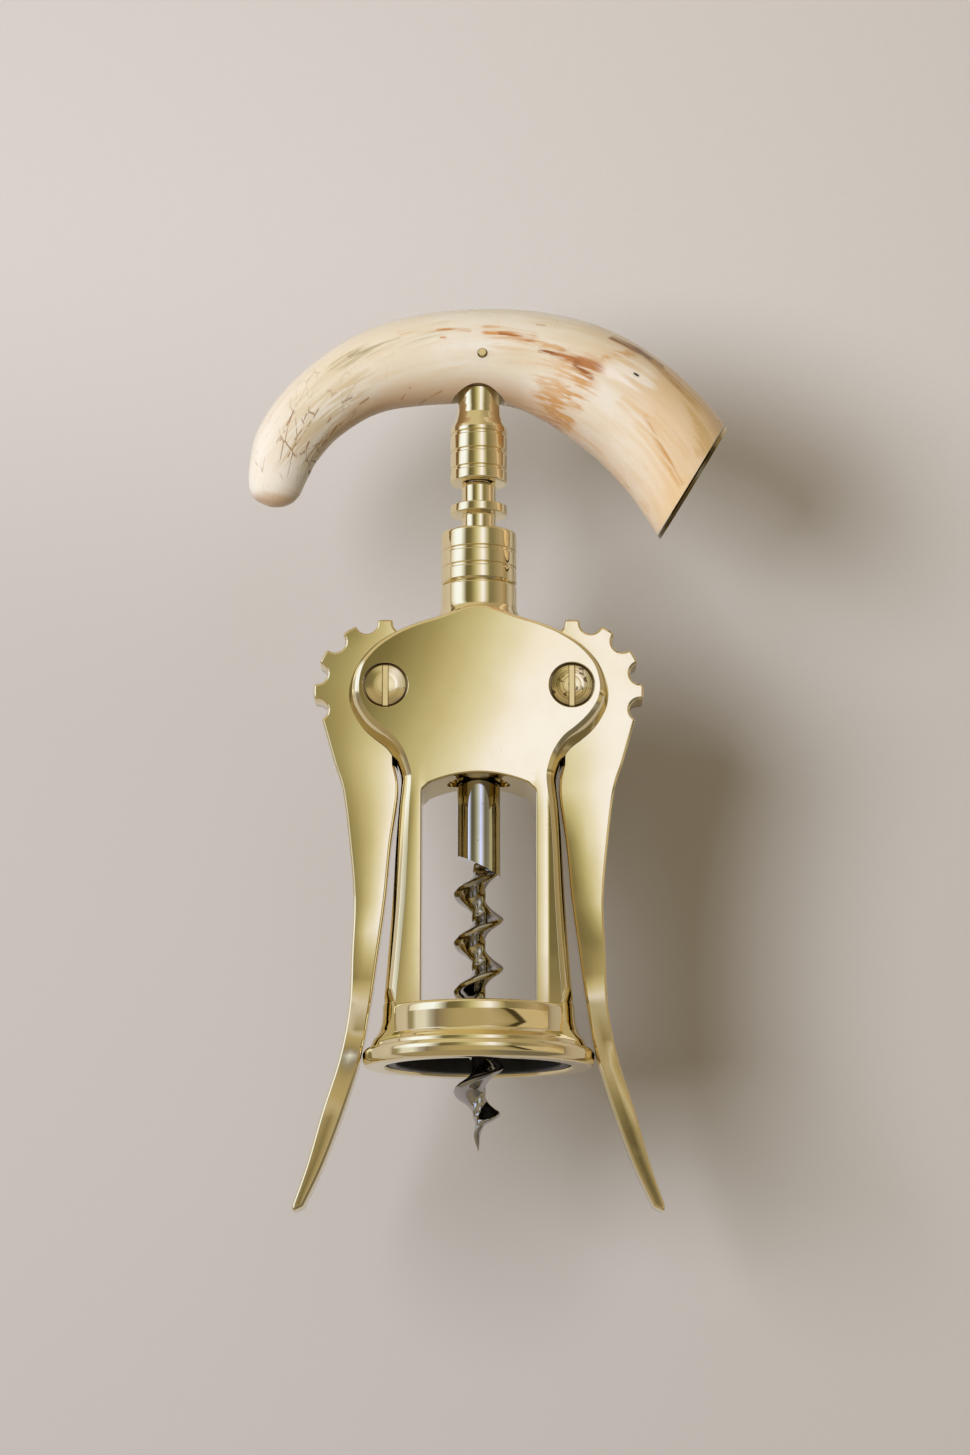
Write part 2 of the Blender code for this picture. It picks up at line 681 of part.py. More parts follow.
def make_pivots():
    """Slotted shoulder screws from the front, each through a sleeve that the lever turns on."""
    face = FRAME_HALF_DEPTH
    seat = face - PIVOT_HEAD_HEIGHT + JOINT_GAP
    crown = face + PIVOT_HEAD_DOME
    end = PIVOT_END_RECESS - FRAME_HALF_DEPTH
    outline = [
        (0.0, crown),
        (PIVOT_HEAD_RADIUS * PIVOT_CROWN_SHARE, crown - PIVOT_HEAD_DOME / 4),
        (PIVOT_HEAD_RADIUS - PIVOT_HEAD_DOME, face),
        (PIVOT_HEAD_RADIUS, face - PIVOT_HEAD_DOME),
        (PIVOT_HEAD_RADIUS, seat),
        (PIVOT_SHANK_RADIUS, seat),
        (PIVOT_SHANK_RADIUS, end),
        (0.0, end),
    ]
    half = SLOT_HALF_DEPTH - JOINT_GAP
    bore = PIVOT_SHANK_RADIUS + JOINT_GAP
    tube = [(SLEEVE_RADIUS, half), (SLEEVE_RADIUS, -half), (bore, -half), (bore, half)]
    slot_end = PIVOT_HEAD_RADIUS + OVERRUN
    slot_low = (-PIVOT_SLOT_WIDTH / 2, -slot_end, face - PIVOT_SLOT_DEPTH)
    slot_high = (PIVOT_SLOT_WIDTH / 2, slot_end, crown + OVERRUN)
    for side, label in ((-1, "left"), (1, "right")):
        screw = turned("pivot_screw_" + label, outline, brass("screw_brass_" + label), SPINDLE_STEPS)
        slot = block("screwdriver_slot_" + label, slot_low, slot_high)
        sleeve = turned("pivot_sleeve_" + label, tube, steel("sleeve_steel_" + label), SPINDLE_STEPS)
        for thing in (screw, slot, sleeve):
            thing.rotation_euler = (math.pi / 2, 0.0, 0.0)
            thing.location = (side * PIVOT_X, 0.0, PIVOT_HEIGHT)
        cut(screw, slot)


def gear_outline():
    """The teeth of the left lever about its pivot, from the lowest tooth by the rack over the top."""
    pitch = 2 * math.pi / GEAR_TEETH
    half_tip = TOOTH_TIP_WIDTH / GEAR_TIP_RADIUS / 2
    reach = math.sqrt(GEAR_TIP_RADIUS**2 - NOTCH_RADIUS**2)
    points = []
    for tooth in range(FIRST_TOOTH, LAST_TOOTH + 1):
        middle = GEAR_PHASE + tooth * pitch
        gap = middle + pitch / 2
        centre = (reach * math.cos(gap), reach * math.sin(gap))
        points += arc((0.0, 0.0), GEAR_TIP_RADIUS, middle - half_tip, middle + half_tip, 2)
        points += arc(centre, NOTCH_RADIUS, gap - math.pi / 2, gap - math.pi * 3 / 2, 8)[1:-1]
    return points


def arm_outline():
    """The arm of the left lever about its pivot: outer edge down to the tip, then the inner edge up."""
    throat = between(CHEEK_LOWER_SHARES, (SLOT_FLOOR - HEAD_BASE) / (PIVOT_HEIGHT - HEAD_BASE))
    cheek = LEG_TOP_HALF_WIDTH + (HEAD_HALF_WIDTH - LEG_TOP_HALF_WIDTH) * throat
    waist = (BELL_HEIGHT + HEAD_BASE) / 2
    knee = (HEAD_BASE + waist) / 2
    shin = (waist + BELL_HEIGHT) / 2
    rim = FOOT_RING_HEIGHT / 2
    rim_reach = FOOT_RING_RADIUS + RIM_GAP
    drop = rim + ARM_TIP_DROP
    spread = ARM_TIP_SPREAD - ARM_TIP_WIDTH
    knee_width = ARM_HEEL_WIDTH * KNEE_SHARES[0] + ARM_WAIST_WIDTH * KNEE_SHARES[1]
    stations = (
        (cheek + ARM_LEG_GAP / 2, SLOT_FLOOR, ARM_HEEL_WIDTH + ARM_TIP_WIDTH / 4),
        (leg_outer(HEAD_BASE) + ARM_LEG_GAP * HEEL_GAP_SHARE, HEAD_BASE, ARM_HEEL_WIDTH - ARM_TIP_WIDTH / 4),
        (leg_outer(knee) + ARM_LEG_GAP, knee, knee_width),
        (leg_outer(waist) + ARM_LEG_GAP, waist, ARM_WAIST_WIDTH),
        (leg_outer(shin) + (ARM_LEG_GAP + ARM_FOOT_GAP) / 2, shin, (ARM_WAIST_WIDTH + ARM_RIM_WIDTH) / 2),
        (leg_outer(BELL_HEIGHT) + ARM_FOOT_GAP, BELL_HEIGHT, ARM_RIM_WIDTH),
        (rim_reach, rim, ARM_RIM_WIDTH),
        (rim_reach + spread * SHIN_REACH_SHARE, rim - drop * SHIN_DROP_SHARE, ARM_RIM_WIDTH),
        (rim_reach + spread * ANKLE_REACH_SHARE, rim - drop * ANKLE_DROP_SHARE,
         (ARM_RIM_WIDTH + ARM_TIP_WIDTH) / 2),
        (rim_reach + spread, rim - drop + ARM_TIP_WIDTH / 2, ARM_TIP_WIDTH),
    )
    down = smooth([(PIVOT_X - x - width, z - PIVOT_HEIGHT) for x, z, width in stations], 2)
    up = smooth([(PIVOT_X - x, z - PIVOT_HEIGHT) for x, z, width in stations], 2)
    down[-1].y -= ARM_TIP_WIDTH / 2
    return down, up[::-1]


def lever_outline():
    down, up = arm_outline()
    heel = arc((0.0, 0.0), GEAR_ROOT_RADIUS, HEEL_START, HEEL_END, 4)
    return gear_outline() + down + up + heel


def make_levers():
    """Two levers, each a flat plate with the gear round its pivot, in mirror image."""
    levels = both_ways([(LEVER_HALF_DEPTH, LEVER_EDGE), (LEVER_HALF_DEPTH - LEVER_EDGE, 0.0)])
    reach = LEVER_HALF_DEPTH + OVERRUN
    bore = SLEEVE_RADIUS + JOINT_GAP
    for side, label in ((-1, "left"), (1, "right")):
        outline = [Vector((-side * p.x, p.y)) for p in lever_outline()]
        lever = plate("lever_" + label, outline, levels, brass("lever_brass_" + label))
        lever.location = (side * PIVOT_X, 0.0, PIVOT_HEIGHT)
        cut(lever, pivot_rod("lever_bore_" + label, bore, side, -reach, reach, SPINDLE_STEPS))


def make_rack():
    """A tube with eight rings, which slides up and down in the frame and works both gears."""
    head = FERRULE_BASE - JOINT_GAP
    bore = STEM_RADIUS + JOINT_GAP
    outline = [(RACK_CORE_RADIUS, head)]
    for index in range(RACK_RINGS):
        middle = TOP_RING - index * RACK_PITCH
        upper = middle + RING_THICKNESS / 2
        lower = middle - RING_THICKNESS / 2
        outline += [
            (RACK_CORE_RADIUS, upper), (RING_RADIUS, upper), (RING_RADIUS, lower), (RACK_CORE_RADIUS, lower),
        ]
    outline += [(RACK_CORE_RADIUS, RACK_TAIL), (bore, RACK_TAIL), (bore, head)]
    return turned("rack_spindle", outline, brass("rack_brass"), SPINDLE_STEPS)


def blade_ring(height, turn, reach):
    """One level of the worm: a round core with a single blade that thins towards its edge."""
    half = [(share, WORM_CORE_RADIUS + (WORM_RADIUS - WORM_CORE_RADIUS) * out) for share, out in BLADE_SHARES]
    ring = half + [(-share, radius) for share, radius in reversed(half[1:-1])]
    points = []
    for share, radius in ring:
        angle = turn + share * 2 * math.pi
        points.append((radius * reach * math.cos(angle), radius * reach * math.sin(angle), height))
    return points


def make_worm():
    """Stem through the rack, a thicker shank below it, and the bladed worm down to its point."""
    shoulder = RACK_TAIL - JOINT_GAP
    stem_top = FERRULE_BASE + STEM_SOCKET_DEPTH - JOINT_GAP
    low = SHANK_END - SHANK_RADIUS * 2
    outline = [
        (0.0, stem_top), (STEM_RADIUS, stem_top), (STEM_RADIUS, shoulder),
        (SHANK_RADIUS, shoulder), (SHANK_RADIUS, low), (0.0, low),
    ]
    worm = turned("worm", outline, steel("worm_steel"), SPINDLE_STEPS)
    reach = SHANK_RADIUS * 4
    slant = Matrix.Translation((0.0, 0.0, SHANK_END)) @ Matrix.Rotation(SHANK_SLANT, 4, "Y")
    cut(worm, block("shank_end_cutter", (-reach, -reach, -reach), (reach, reach, 0.0), turn=slant))
    top = SHANK_END + WORM_START
    run = top + WORM_POINT_DROP
    levels = round(run / WORM_PITCH * LEVELS_PER_TURN)
    start = (SHANK_RADIUS - SMALL_GAP * 3) / WORM_RADIUS
    rings = []
    for level in range(levels + 1):
        height = top - run * level / levels
        turn = 2 * math.pi * (WORM_PHASE_SHARE + height / WORM_PITCH)
        left = run * (1 - level / levels)
        taper = min(1.0, left / WORM_TAPER) ** WORM_TAPER_SHARE
        below = max(0.0, SHANK_END - height) / WORM_PITCH
        swell = min(1.0, start + below / 2)
        rings.append(blade_ring(height, turn, max(taper * swell, SMALL_GAP / WORM_RADIUS)))
    return join(worm, loft("worm_blade", rings))


def make_ferrule():
    """The turned ferrule: grooved barrel, flared waist, and a tang up into the tusk."""
    barrel_top = FERRULE_BASE + FERRULE_BARREL
    seat = FERRULE_SEAT - JOINT_GAP
    tang_top = FERRULE_SEAT + TANG_LENGTH
    outline = [
        (0.0, tang_top),
        (TANG_RADIUS - FERRULE_EDGE, tang_top),
        (TANG_RADIUS, tang_top - FERRULE_EDGE),
        (TANG_RADIUS, seat),
    ]
    for share, out in reversed(FERRULE_FLARE_SHARES):
        radius = FERRULE_WAIST_RADIUS + (FERRULE_RADIUS - FERRULE_WAIST_RADIUS) * out
        outline.append((radius, barrel_top + (seat - barrel_top) * share))
    outline += grooves(
        FERRULE_RADIUS, FERRULE_BASE + FERRULE_FIRST_GROOVE + FERRULE_GROOVES * FERRULE_GROOVE_PITCH,
        FERRULE_GROOVE_PITCH, FERRULE_GROOVE_WIDTH, FERRULE_GROOVE_DEPTH, FERRULE_GROOVES + 1,
    )
    socket = STEM_RADIUS + JOINT_GAP
    socket_top = FERRULE_BASE + STEM_SOCKET_DEPTH
    outline += [
        (FERRULE_RADIUS, FERRULE_BASE + FERRULE_EDGE),
        (FERRULE_RADIUS - FERRULE_EDGE, FERRULE_BASE),
        (socket, FERRULE_BASE),
        (socket, socket_top),
        (0.0, socket_top),
    ]
    ferrule = turned("handle_ferrule", outline, brass("ferrule_brass"), SPINDLE_STEPS)
    pin_hole = tusk_pin_rod("ferrule_pin_cutter", TUSK_PIN_RADIUS + SMALL_GAP, TANG_RADIUS + OVERRUN)
    return cut(ferrule, pin_hole)


def tusk_pin_rod(name, radius, half_length, finish=None):
    """A bar from front to back through the tusk and the ferrule's tang."""
    front = (TUSK_PIN_X, -half_length, FERRULE_SEAT + TUSK_PIN_RISE)
    back = (TUSK_PIN_X, half_length, FERRULE_SEAT + TUSK_PIN_RISE)
    return rod(name, radius, front, back, finish, SMALL_STEPS)


def tusk_spine():
    """Points of the tusk's centre line, each with its half width."""
    return [
        Vector((TUSK_SPAN * x, FERRULE_SEAT + TUSK_RISE * z, TUSK_GIRTH * width))
        for x, z, width in TUSK_SPINE_SHARES
    ]


def swept(name, stations, finish=None):
    """An oval bar along stations of x, z and half width, made from a curve with a bevel."""
    curve = bpy.data.curves.new(name + "_curve", "CURVE")
    curve.dimensions = "3D"
    curve.bevel_depth = TUSK_GIRTH / 2
    curve.bevel_resolution = TUSK_SIDE_RESOLUTION
    curve.use_fill_caps = True
    spline = curve.splines.new("POLY")
    spline.points.add(len(stations) - 1)
    for point, (x, z, half) in zip(spline.points, stations):
        point.co = (x, 0.0, z, 1.0)
        point.radius = half / curve.bevel_depth
    guide = add_object(name + "_guide", curve)
    bpy.context.view_layer.update()
    graph = bpy.context.evaluated_depsgraph_get()
    mesh = bpy.data.meshes.new_from_object(guide.evaluated_get(graph))
    mesh.name = name
    bpy.data.objects.remove(guide, do_unlink=True)
    shape = bmesh.new()
    shape.from_mesh(mesh)
    bmesh.ops.remove_doubles(shape, verts=shape.verts, dist=MERGE_DISTANCE)
    bmesh.ops.scale(shape, vec=(1.0, TUSK_FLATNESS, 1.0), verts=shape.verts)
    bmesh.ops.recalc_face_normals(shape, faces=shape.faces)
    shape.to_mesh(mesh)
    shape.free()
    mesh.materials.clear()
    return shade(add_object(name, mesh, finish))


def beyond_cut(name, start, end):
    """A slab square to the tusk's cut, from one distance past the cut to another."""
    wide = TUSK_GIRTH * 2
    drop = TUSK_RISE * CUT_DROP_SHARE
    place = Matrix.Translation((CUT_X, 0.0, FERRULE_SEAT - drop)) @ Matrix.Rotation(CUT_LEAN, 4, "Y")
    return block(name, (start, -wide, -wide), (end, wide, wide), turn=place)


def cavity_stations(radius, depth):
    """The hollow root along the tusk's own curve, from past the cut to a rounded end."""
    spine = smooth(tusk_spine(), 2)
    first = min(range(len(spine)), key=lambda i: abs(spine[i].x - CUT_X))
    outward = (spine[first].xy - spine[first - 1].xy).normalized()
    start = spine[first].xy + outward * TUSK_GIRTH / 2
    stations = [(start.x, start.y, radius)]
    walked = 0.0
    while walked < depth and first > 0:
        round_end = math.sqrt(1.0 - CAVITY_ROUND_SHARE * (walked / depth) ** 2)
        stations.append((spine[first].x, spine[first].y, radius * round_end))
        walked += (spine[first].xy - spine[first - 1].xy).length
        first -= 1
    return stations


def make_tusk():
    """The tusk, spot-faced and drilled for the ferrule, hollow at its cut end and capped there."""
    tusk = swept("tusk_grip", tusk_spine(), material("tusk_ivory", (0.82, 0.74, 0.58), 0.35, 0.0))
    hole_top = FERRULE_SEAT + TANG_LENGTH + JOINT_GAP
    low = (0.0, 0.0, FERRULE_SEAT - TUSK_GIRTH / 2)
    cut(
        tusk,
        beyond_cut("tusk_end_cutter", 0.0, TUSK_SPAN),
        rod("spot_cutter", SPOT_RADIUS, low, (0.0, 0.0, FERRULE_SEAT)),
        rod("tang_cutter", TANG_RADIUS + JOINT_GAP, low, (0.0, 0.0, hole_top), steps=SMALL_STEPS),
        swept("cavity_cutter", cavity_stations(CAVITY_RADIUS, CAVITY_DEPTH)),
        tusk_pin_rod("tusk_pin_cutter", TUSK_PIN_RADIUS + SMALL_GAP, TUSK_GIRTH),
    )
    plug_stations = cavity_stations(CAVITY_RADIUS - JOINT_GAP, CAVITY_DEPTH - JOINT_GAP)
    plug = swept("root_plug", plug_stations, material("plug_resin", (0.32, 0.24, 0.16), 0.6, 0.0))
    cut(plug, beyond_cut("plug_end_cutter", -PLUG_RECESS, TUSK_SPAN))
    cap = swept("tusk_end_cap", tusk_spine(), brass("cap_brass"))
    combine(cap, beyond_cut("cap_slab", JOINT_GAP, JOINT_GAP + END_CAP_THICKNESS), "INTERSECT")
    middle = min(tusk_spine(), key=lambda point: abs(point.x - TUSK_PIN_X))
    half_length = middle.z * TUSK_FLATNESS - TUSK_PIN_RECESS
    tusk_pin_rod("tusk_pin", TUSK_PIN_RADIUS, half_length, brass("pin_brass"))


clear_scene()
make_frame()
make_collar()
make_collar_screws()
make_liner()
make_pivots()
make_levers()
make_rack()
make_worm()
make_ferrule()
make_tusk()
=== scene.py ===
"""The looks of the wing corkscrew: polished brass, a chromed worm and a tusk handle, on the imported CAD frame.

+Z runs up along the worm and the front faces -Y, as in the part. Lengths are in millimetres, and MM turns them
into metres where a mesh or a material needs them. Every piece is placed by the sizes below.
"""

import math

import bmesh
import bpy
import numpy as np
from mathutils import Matrix, Vector
from mathutils.geometry import delaunay_2d_cdt


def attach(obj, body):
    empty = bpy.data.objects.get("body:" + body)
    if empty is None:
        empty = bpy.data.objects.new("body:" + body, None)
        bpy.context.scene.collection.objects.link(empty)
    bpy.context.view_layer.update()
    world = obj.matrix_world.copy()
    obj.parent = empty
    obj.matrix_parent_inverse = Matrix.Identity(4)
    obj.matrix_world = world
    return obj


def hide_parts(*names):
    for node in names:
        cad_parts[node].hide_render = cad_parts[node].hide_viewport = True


MM = 0.001

# Rack and gears
RACK_PITCH = 6.8
RING_RADIUS = 5.7
RING_THICKNESS = 1.9
RACK_CORE_RADIUS = 3.4
RACK_RINGS = 8
TOP_RING = 111.6
RACK_TAIL = 60.6
GEAR_TEETH = 12
GEAR_PHASE = math.radians(1.0)
GEAR_TIP_RADIUS = 14.287
TOOTH_TIP_WIDTH = 3.2
NOTCH_RADIUS = (2 * math.pi * GEAR_TIP_RADIUS / GEAR_TEETH - TOOTH_TIP_WIDTH) / 2
GEAR_ROOT_RADIUS = math.sqrt(GEAR_TIP_RADIUS**2 - NOTCH_RADIUS**2) - NOTCH_RADIUS
PIVOT_X = 18.287
PIVOT_HEIGHT = 74.2

# Bell foot
BELL_RADIUS = 18.5
BELL_HEIGHT = 11.5
FOOT_RING_RADIUS = 22.6
FOOT_RING_HEIGHT = 3.4
MOUTH_RADIUS = 18.15
POCKET_RADIUS = 17.4
POCKET_ROOF = 9.3
WORM_HOLE_RADIUS = 5.6

# Frame plate
FRAME_HALF_DEPTH = 9.5
SLOT_HALF_DEPTH = 4.7
SLOT_FLOOR = 59.313
WINDOW_TOP = 56.713
HEAD_BASE = 54.013
WINDOW_HALF_WIDTH = 11.1
WINDOW_CORNER = 1.2
LEG_TOP_HALF_WIDTH = 15.4
LEG_FOOT_HALF_WIDTH = 18.7
HEAD_HALF_WIDTH = 25.787
HEAD_CROWN = 17.8
HEAD_TOP = 92.0
FRAME_FOOT = POCKET_ROOF - 2.8
RIM_DRAW = 2.8
LEG_FLARE_SHARES = ((0.0, 1.0), (0.27, 0.71), (0.50, 0.49), (0.74, 0.32), (0.91, 0.15), (1.0, 0.03))
CHEEK_LOWER_SHARES = (
    (0.11, 0.0), (0.20, 0.04), (0.305, 0.125), (0.413, 0.28), (0.495, 0.485), (0.60, 0.715), (0.733, 0.89),
    (0.85, 0.98), (1.0, 1.0),
)
CHEEK_UPPER_SHARES = (
    (0.197, 0.965), (0.354, 0.90), (0.515, 0.79), (0.645, 0.652), (0.718, 0.543), (0.77, 0.446),
    (0.832, 0.302), (0.90, 0.175), (0.944, 0.085), (0.96, 0.0),
)
# How wide the outer edge's bevel is at a height, as a share of its full width
RIGHT_RIM_SHARES = ((9, 0.9), (20, 0.86), (48, 0.7), (58, 0.78), (66, 0.92), (74, 0.72), (80, 0.58), (92, 0.5))
LEFT_RIM_SHARES = (
    (9, 0.95), (20, 1), (31, 1.03), (42, 1), (52, 0.84), (58, 0.8), (66, 0.92), (74, 0.86), (80, 0.62),
    (92, 0.5),
)
# The bearings in degrees that the right leg's face mirrors, by the distance from the middle
RIGHT_LEG_BEARINGS = ((11.0, -11), (12.0, 1), (13.4, 14), (13.8, -36))
# The head's crown: the heights it fades in between, the degrees gained per mm to the right and downwards, the
# height that mirrors straight ahead, and the bearing past which it flattens
HEAD_BLEND = (48, 60)
CROWN_ACROSS = 1.15
CROWN_DOWN = 0.45
CROWN_LEVEL = 75
CROWN_KNEE = 8
CROWN_SOFTNESS = 6

# Neck and collar
NECK_RADIUS = 7.55
NECK_SEAM = 96.0
NECK_ROOT = 84.27
COLLAR_TOP = 107.0
BORE_RADIUS = 6.0
SPIGOT_RADIUS = 6.65
GROOVE_WIDTH = 0.8
GROOVE_DEPTH = 0.3
GROOVE_PITCH = 3.38
GROOVE_LIP = 0.14

# Levers
LEVER_HALF_DEPTH = 4.3
HEEL_START = math.radians(-82)
HEEL_END = math.radians(-43)
TIP_SLANT = 1.1

# Pivot screws
SCREW_TOP = 9.33
SCREW_SLOT_HALF_WIDTH = 0.52

# Worm
WORM_RADIUS = 4.9
WORM_CORE_RADIUS = 1.4
WORM_PITCH = 9.65
WORM_TURN = 0.013
RINGS_PER_TURN = 56
WORM_POINT_DROP = 16.1
SHANK_RADIUS = 4.25
SHANK_END = 39.5
SHANK_SLANT = math.radians(26)
STEM_RADIUS = 2.35
RUNNING_GAP = 0.3
BLADE_SHARES = ((0.0, 1.0), (0.06, 0.88), (0.13, 0.54), (0.22, 0.22), (0.34, 0.0), (0.5, 0.0))
POINT_SHARES = ((0, 0.03), (4.8, 0.36), (5.8, 0.66), (7.8, 1.0))

# Ferrule and tusk
FERRULE_BASE = 117.2
FERRULE_SEAT = 136.8
TUSK_SPAN = 95.5
TUSK_RISE = 48.0
TUSK_GIRTH = 24.0
TUSK_FLATNESS = 0.86
TUSK_BREADTH = 0.994
TUSK_SPINE_SHARES = (
    (-0.4385, -0.502, 0.02), (-0.437, -0.4885, 0.117), (-0.4346, -0.4646, 0.182), (-0.4314, -0.437, 0.213),
    (-0.4277, -0.408, 0.231), (-0.4188, -0.334, 0.258), (-0.40, -0.229, 0.286), (-0.355, -0.105, 0.304),
    (-0.2927, 0.001, 0.322), (-0.2314, 0.072, 0.347), (-0.1623, 0.1156, 0.374), (-0.0686, 0.1427, 0.396),
    (0.0241, 0.148, 0.404), (0.109, 0.129, 0.425), (0.1875, 0.078, 0.463), (0.247, 0.016, 0.487),
    (0.2995, -0.057, 0.496), (0.352, -0.149, 0.50), (0.409, -0.279, 0.50), (0.450, -0.415, 0.479),
    (0.488, -0.548, 0.467), (0.529, -0.6875, 0.458),
)
CUT_POINT = Vector((TUSK_SPAN * 0.4513, 0.0, FERRULE_SEAT - TUSK_RISE * 0.4083))
CUT_LEAN = math.radians(30.8)
CUT_TURN = 0.11
CUT_HALF_DEPTH = 9.4
TUSK_HEART = Vector((2.0, 0.0, 96.8))
TUSK_BEND = 46.7
TUSK_FRONT = -9.0
CAP_THICKNESS = 0.65
CAP_GAP = 0.3
PIN_X = 0.7
PIN_HEIGHT = FERRULE_SEAT + 5.4
PIN_REACH = 8.75

# The photograph's view
VIEW_RISE = math.radians(11.2)
VIEW_DISTANCE = 732
VIEW_TARGET = Vector((1.25, 0.0, 67.5))
BACKDROP_DEPTH = 55
BACKDROP_REACH = 1200 * MM
PHOTO_FOCUS = 3696.0
PHOTO_MIDDLE = (485.0, 727.5)
BRIGHTEST = 1.8

# How shapes are rounded, shaded and filled
LONGEST_REACH = 0.46
SHORTEST_REACH = 0.01
SHARP_TURN = math.radians(50)
SHARP_EDGE = math.radians(40)
ROW_SHARE = 0.866
RIM_GAP_SHARE = 0.45


# Shapes

def smooth(points, per_span):
    """Points along a Catmull-Rom curve through the given ones."""
    points = [Vector(p) for p in points]
    made = []
    for before, start, end, after in zip(points[:1] + points, points, points[1:], points[2:] + points[-1:]):
        for step in range(per_span):
            t = step / per_span
            made.append(
                0.5 * (2 * start + (end - before) * t + (2 * before - 5 * start + 4 * end - after) * t**2
                       + (3 * start - before - 3 * end + after) * t**3)
            )
    return made + [points[-1]]


def rounded(start, middle, end, steps):
    """Points along the curve that rounds a corner."""
    shares = [step / steps for step in range(steps + 1)]
    return [start * (1 - t) ** 2 + middle * 2 * t * (1 - t) + end * t**2 for t in shares]


def eased(points, radius, steps=5):
    """An open line with its corners rounded. A point may carry its own radius as a third value."""
    line = [Vector(p[:2]) for p in points]
    made = line[:1]
    for point, before, here, after in zip(points[1:], line, line[1:], line[2:]):
        back, on = before - here, after - here
        wanted = point[2] if len(point) > 2 else radius
        longest = min(back.length, on.length) * LONGEST_REACH
        reach = min(wanted * math.tan((math.pi - back.angle(on)) / 2), longest)
        if reach < SHORTEST_REACH:
            made.append(here)
        else:
            made += rounded(here + back.normalized() * reach, here, here + on.normalized() * reach, steps)
    return made + line[-1:]


def softened(outline, radius, steps=4):
    """A closed outline with its sharp outer corners rounded, and everything else kept."""
    outline = [Vector(p) for p in outline]
    count = len(outline)
    found = {}
    for index, here in enumerate(outline):
        turn = math.pi - (outline[index - 1] - here).angle(outline[(index + 1) % count] - here)
        if turn < SHARP_TURN:
            continue
        reach = radius * math.tan(turn / 2)
        ends = []
        for way in (-1, 1):
            left, at, k = reach, here, (index + way) % count
            while (outline[k] - at).length < left:
                left -= (outline[k] - at).length
                at, k = outline[k], (k + way) % count
            ends.append(at + (outline[k] - at).normalized() * left)
        found[index] = (here, reach, ends)
    made = []
    for index, here in enumerate(outline):
        if index in found:
            start, end = found[index][2]
            made += rounded(start, here, end, steps)
        elif all((corner - here).length >= reach * 0.999 for corner, reach, _ in found.values()):
            made.append(here)
    return made


def arc(centre, radius, start, end, steps):
    angles = [start + (end - start) * step / steps for step in range(steps + 1)]
    return [Vector((centre[0] + radius * math.cos(a), centre[1] + radius * math.sin(a))) for a in angles]


def mirrored(right):
    """A whole outline from its right half, which ends at the middle."""
    return right + [Vector((-p.x, p.y)) for p in reversed(right[:-1])]


def inset(outline, distance):
    """The closed outline moved inwards by distance, whichever way round it runs."""
    count = len(outline)
    area = sum(
        outline[i - 1][0] * outline[i][1] - outline[i][0] * outline[i - 1][1] for i in range(count)
    )
    side = 1.0 if area > 0 else -1.0
    moved = []
    for index in range(count):
        here = Vector(outline[index])
        came = (here - Vector(outline[index - 1])).normalized()
        goes = (Vector(outline[(index + 1) % count]) - here).normalized()
        inward_a = Vector((-came.y, came.x)) * side
        inward_b = Vector((-goes.y, goes.x)) * side
        moved.append(here + (inward_a + inward_b) * distance / (1.0 + inward_a.dot(inward_b)))
    return moved


def shaded(thing):
    thing.data.polygons.foreach_set("use_smooth", [True] * len(thing.data.polygons))
    thing.data.set_sharp_from_angle(angle=SHARP_EDGE)
    return thing


def piece(name, verts, faces, finish=None):
    """A piece from points in millimetres."""
    mesh = bpy.data.meshes.new(name)
    mesh.from_pydata([tuple(Vector(v) * MM) for v in verts], [], faces)
    shape = bmesh.new()
    shape.from_mesh(mesh)
    bmesh.ops.recalc_face_normals(shape, faces=shape.faces)
    shape.to_mesh(mesh)
    shape.free()
    thing = bpy.data.objects.new(name, mesh)
    bpy.context.scene.collection.objects.link(thing)
    if finish:
        mesh.materials.append(finish)
    return shaded(thing)


def joined(one, two):
    """The faces between two rings of points."""
    return [(one[i - 1], one[i], two[i], two[i - 1]) for i in range(len(one))]


def tube(name, rings, finish):
    """A skin over rings of points, closed at both ends."""
    size = len(rings[0])
    rows = [range(k * size, (k + 1) * size) for k in range(len(rings))]
    faces = [face for one, two in zip(rows, rows[1:]) for face in joined(one, two)]
    return piece(name, [p for ring in rings for p in ring], faces + [tuple(rows[0]), tuple(rows[-1])], finish)


def turned(name, outline, steps, finish=None, place=None):
    """A closed (radius, height) outline turned about Z."""
    verts, faces, rows = [], [], []
    for radius, height in outline:
        around = 1 if radius == 0 else steps
        rows.append([len(verts) + step % around for step in range(steps)])
        angles = [2 * math.pi * (step + 0.5) / steps for step in range(around)]
        verts += [Vector((radius * math.cos(a), radius * math.sin(a), height)) for a in angles]
    for row, after in zip(rows, rows[1:] + rows[:1]):
        for step in range(steps):
            nxt = (step + 1) % steps
            ring = list(dict.fromkeys((row[step], row[nxt], after[nxt], after[step])))
            if len(ring) > 2:
                faces.append(ring)
    if place:
        verts = [place @ v for v in verts]
    return piece(name, verts, faces, finish)


def cut(thing, cutter, operation="DIFFERENCE"):
    """The piece with the cutter taken out of it, as a finished mesh."""
    step = thing.modifiers.new("cut", "BOOLEAN")
    step.operation = operation
    step.solver = "EXACT"
    step.object = cutter
    bpy.context.view_layer.update()
    made = bpy.data.meshes.new_from_object(thing.evaluated_get(bpy.context.evaluated_depsgraph_get()))
    thing.modifiers.clear()
    thing.data = made
    bpy.data.objects.remove(cutter, do_unlink=True)
    return shaded(thing)


def bar(name, radius, start, end, steps=48):
    run = Vector(end) - Vector(start)
    place = Matrix.Translation(start) @ run.to_track_quat("Z", "Y").to_matrix().to_4x4()
    outline = [(0.0, 0.0), (radius, 0.0), (radius, run.length), (0.0, run.length)]
    return turned(name, outline, steps, place=place)


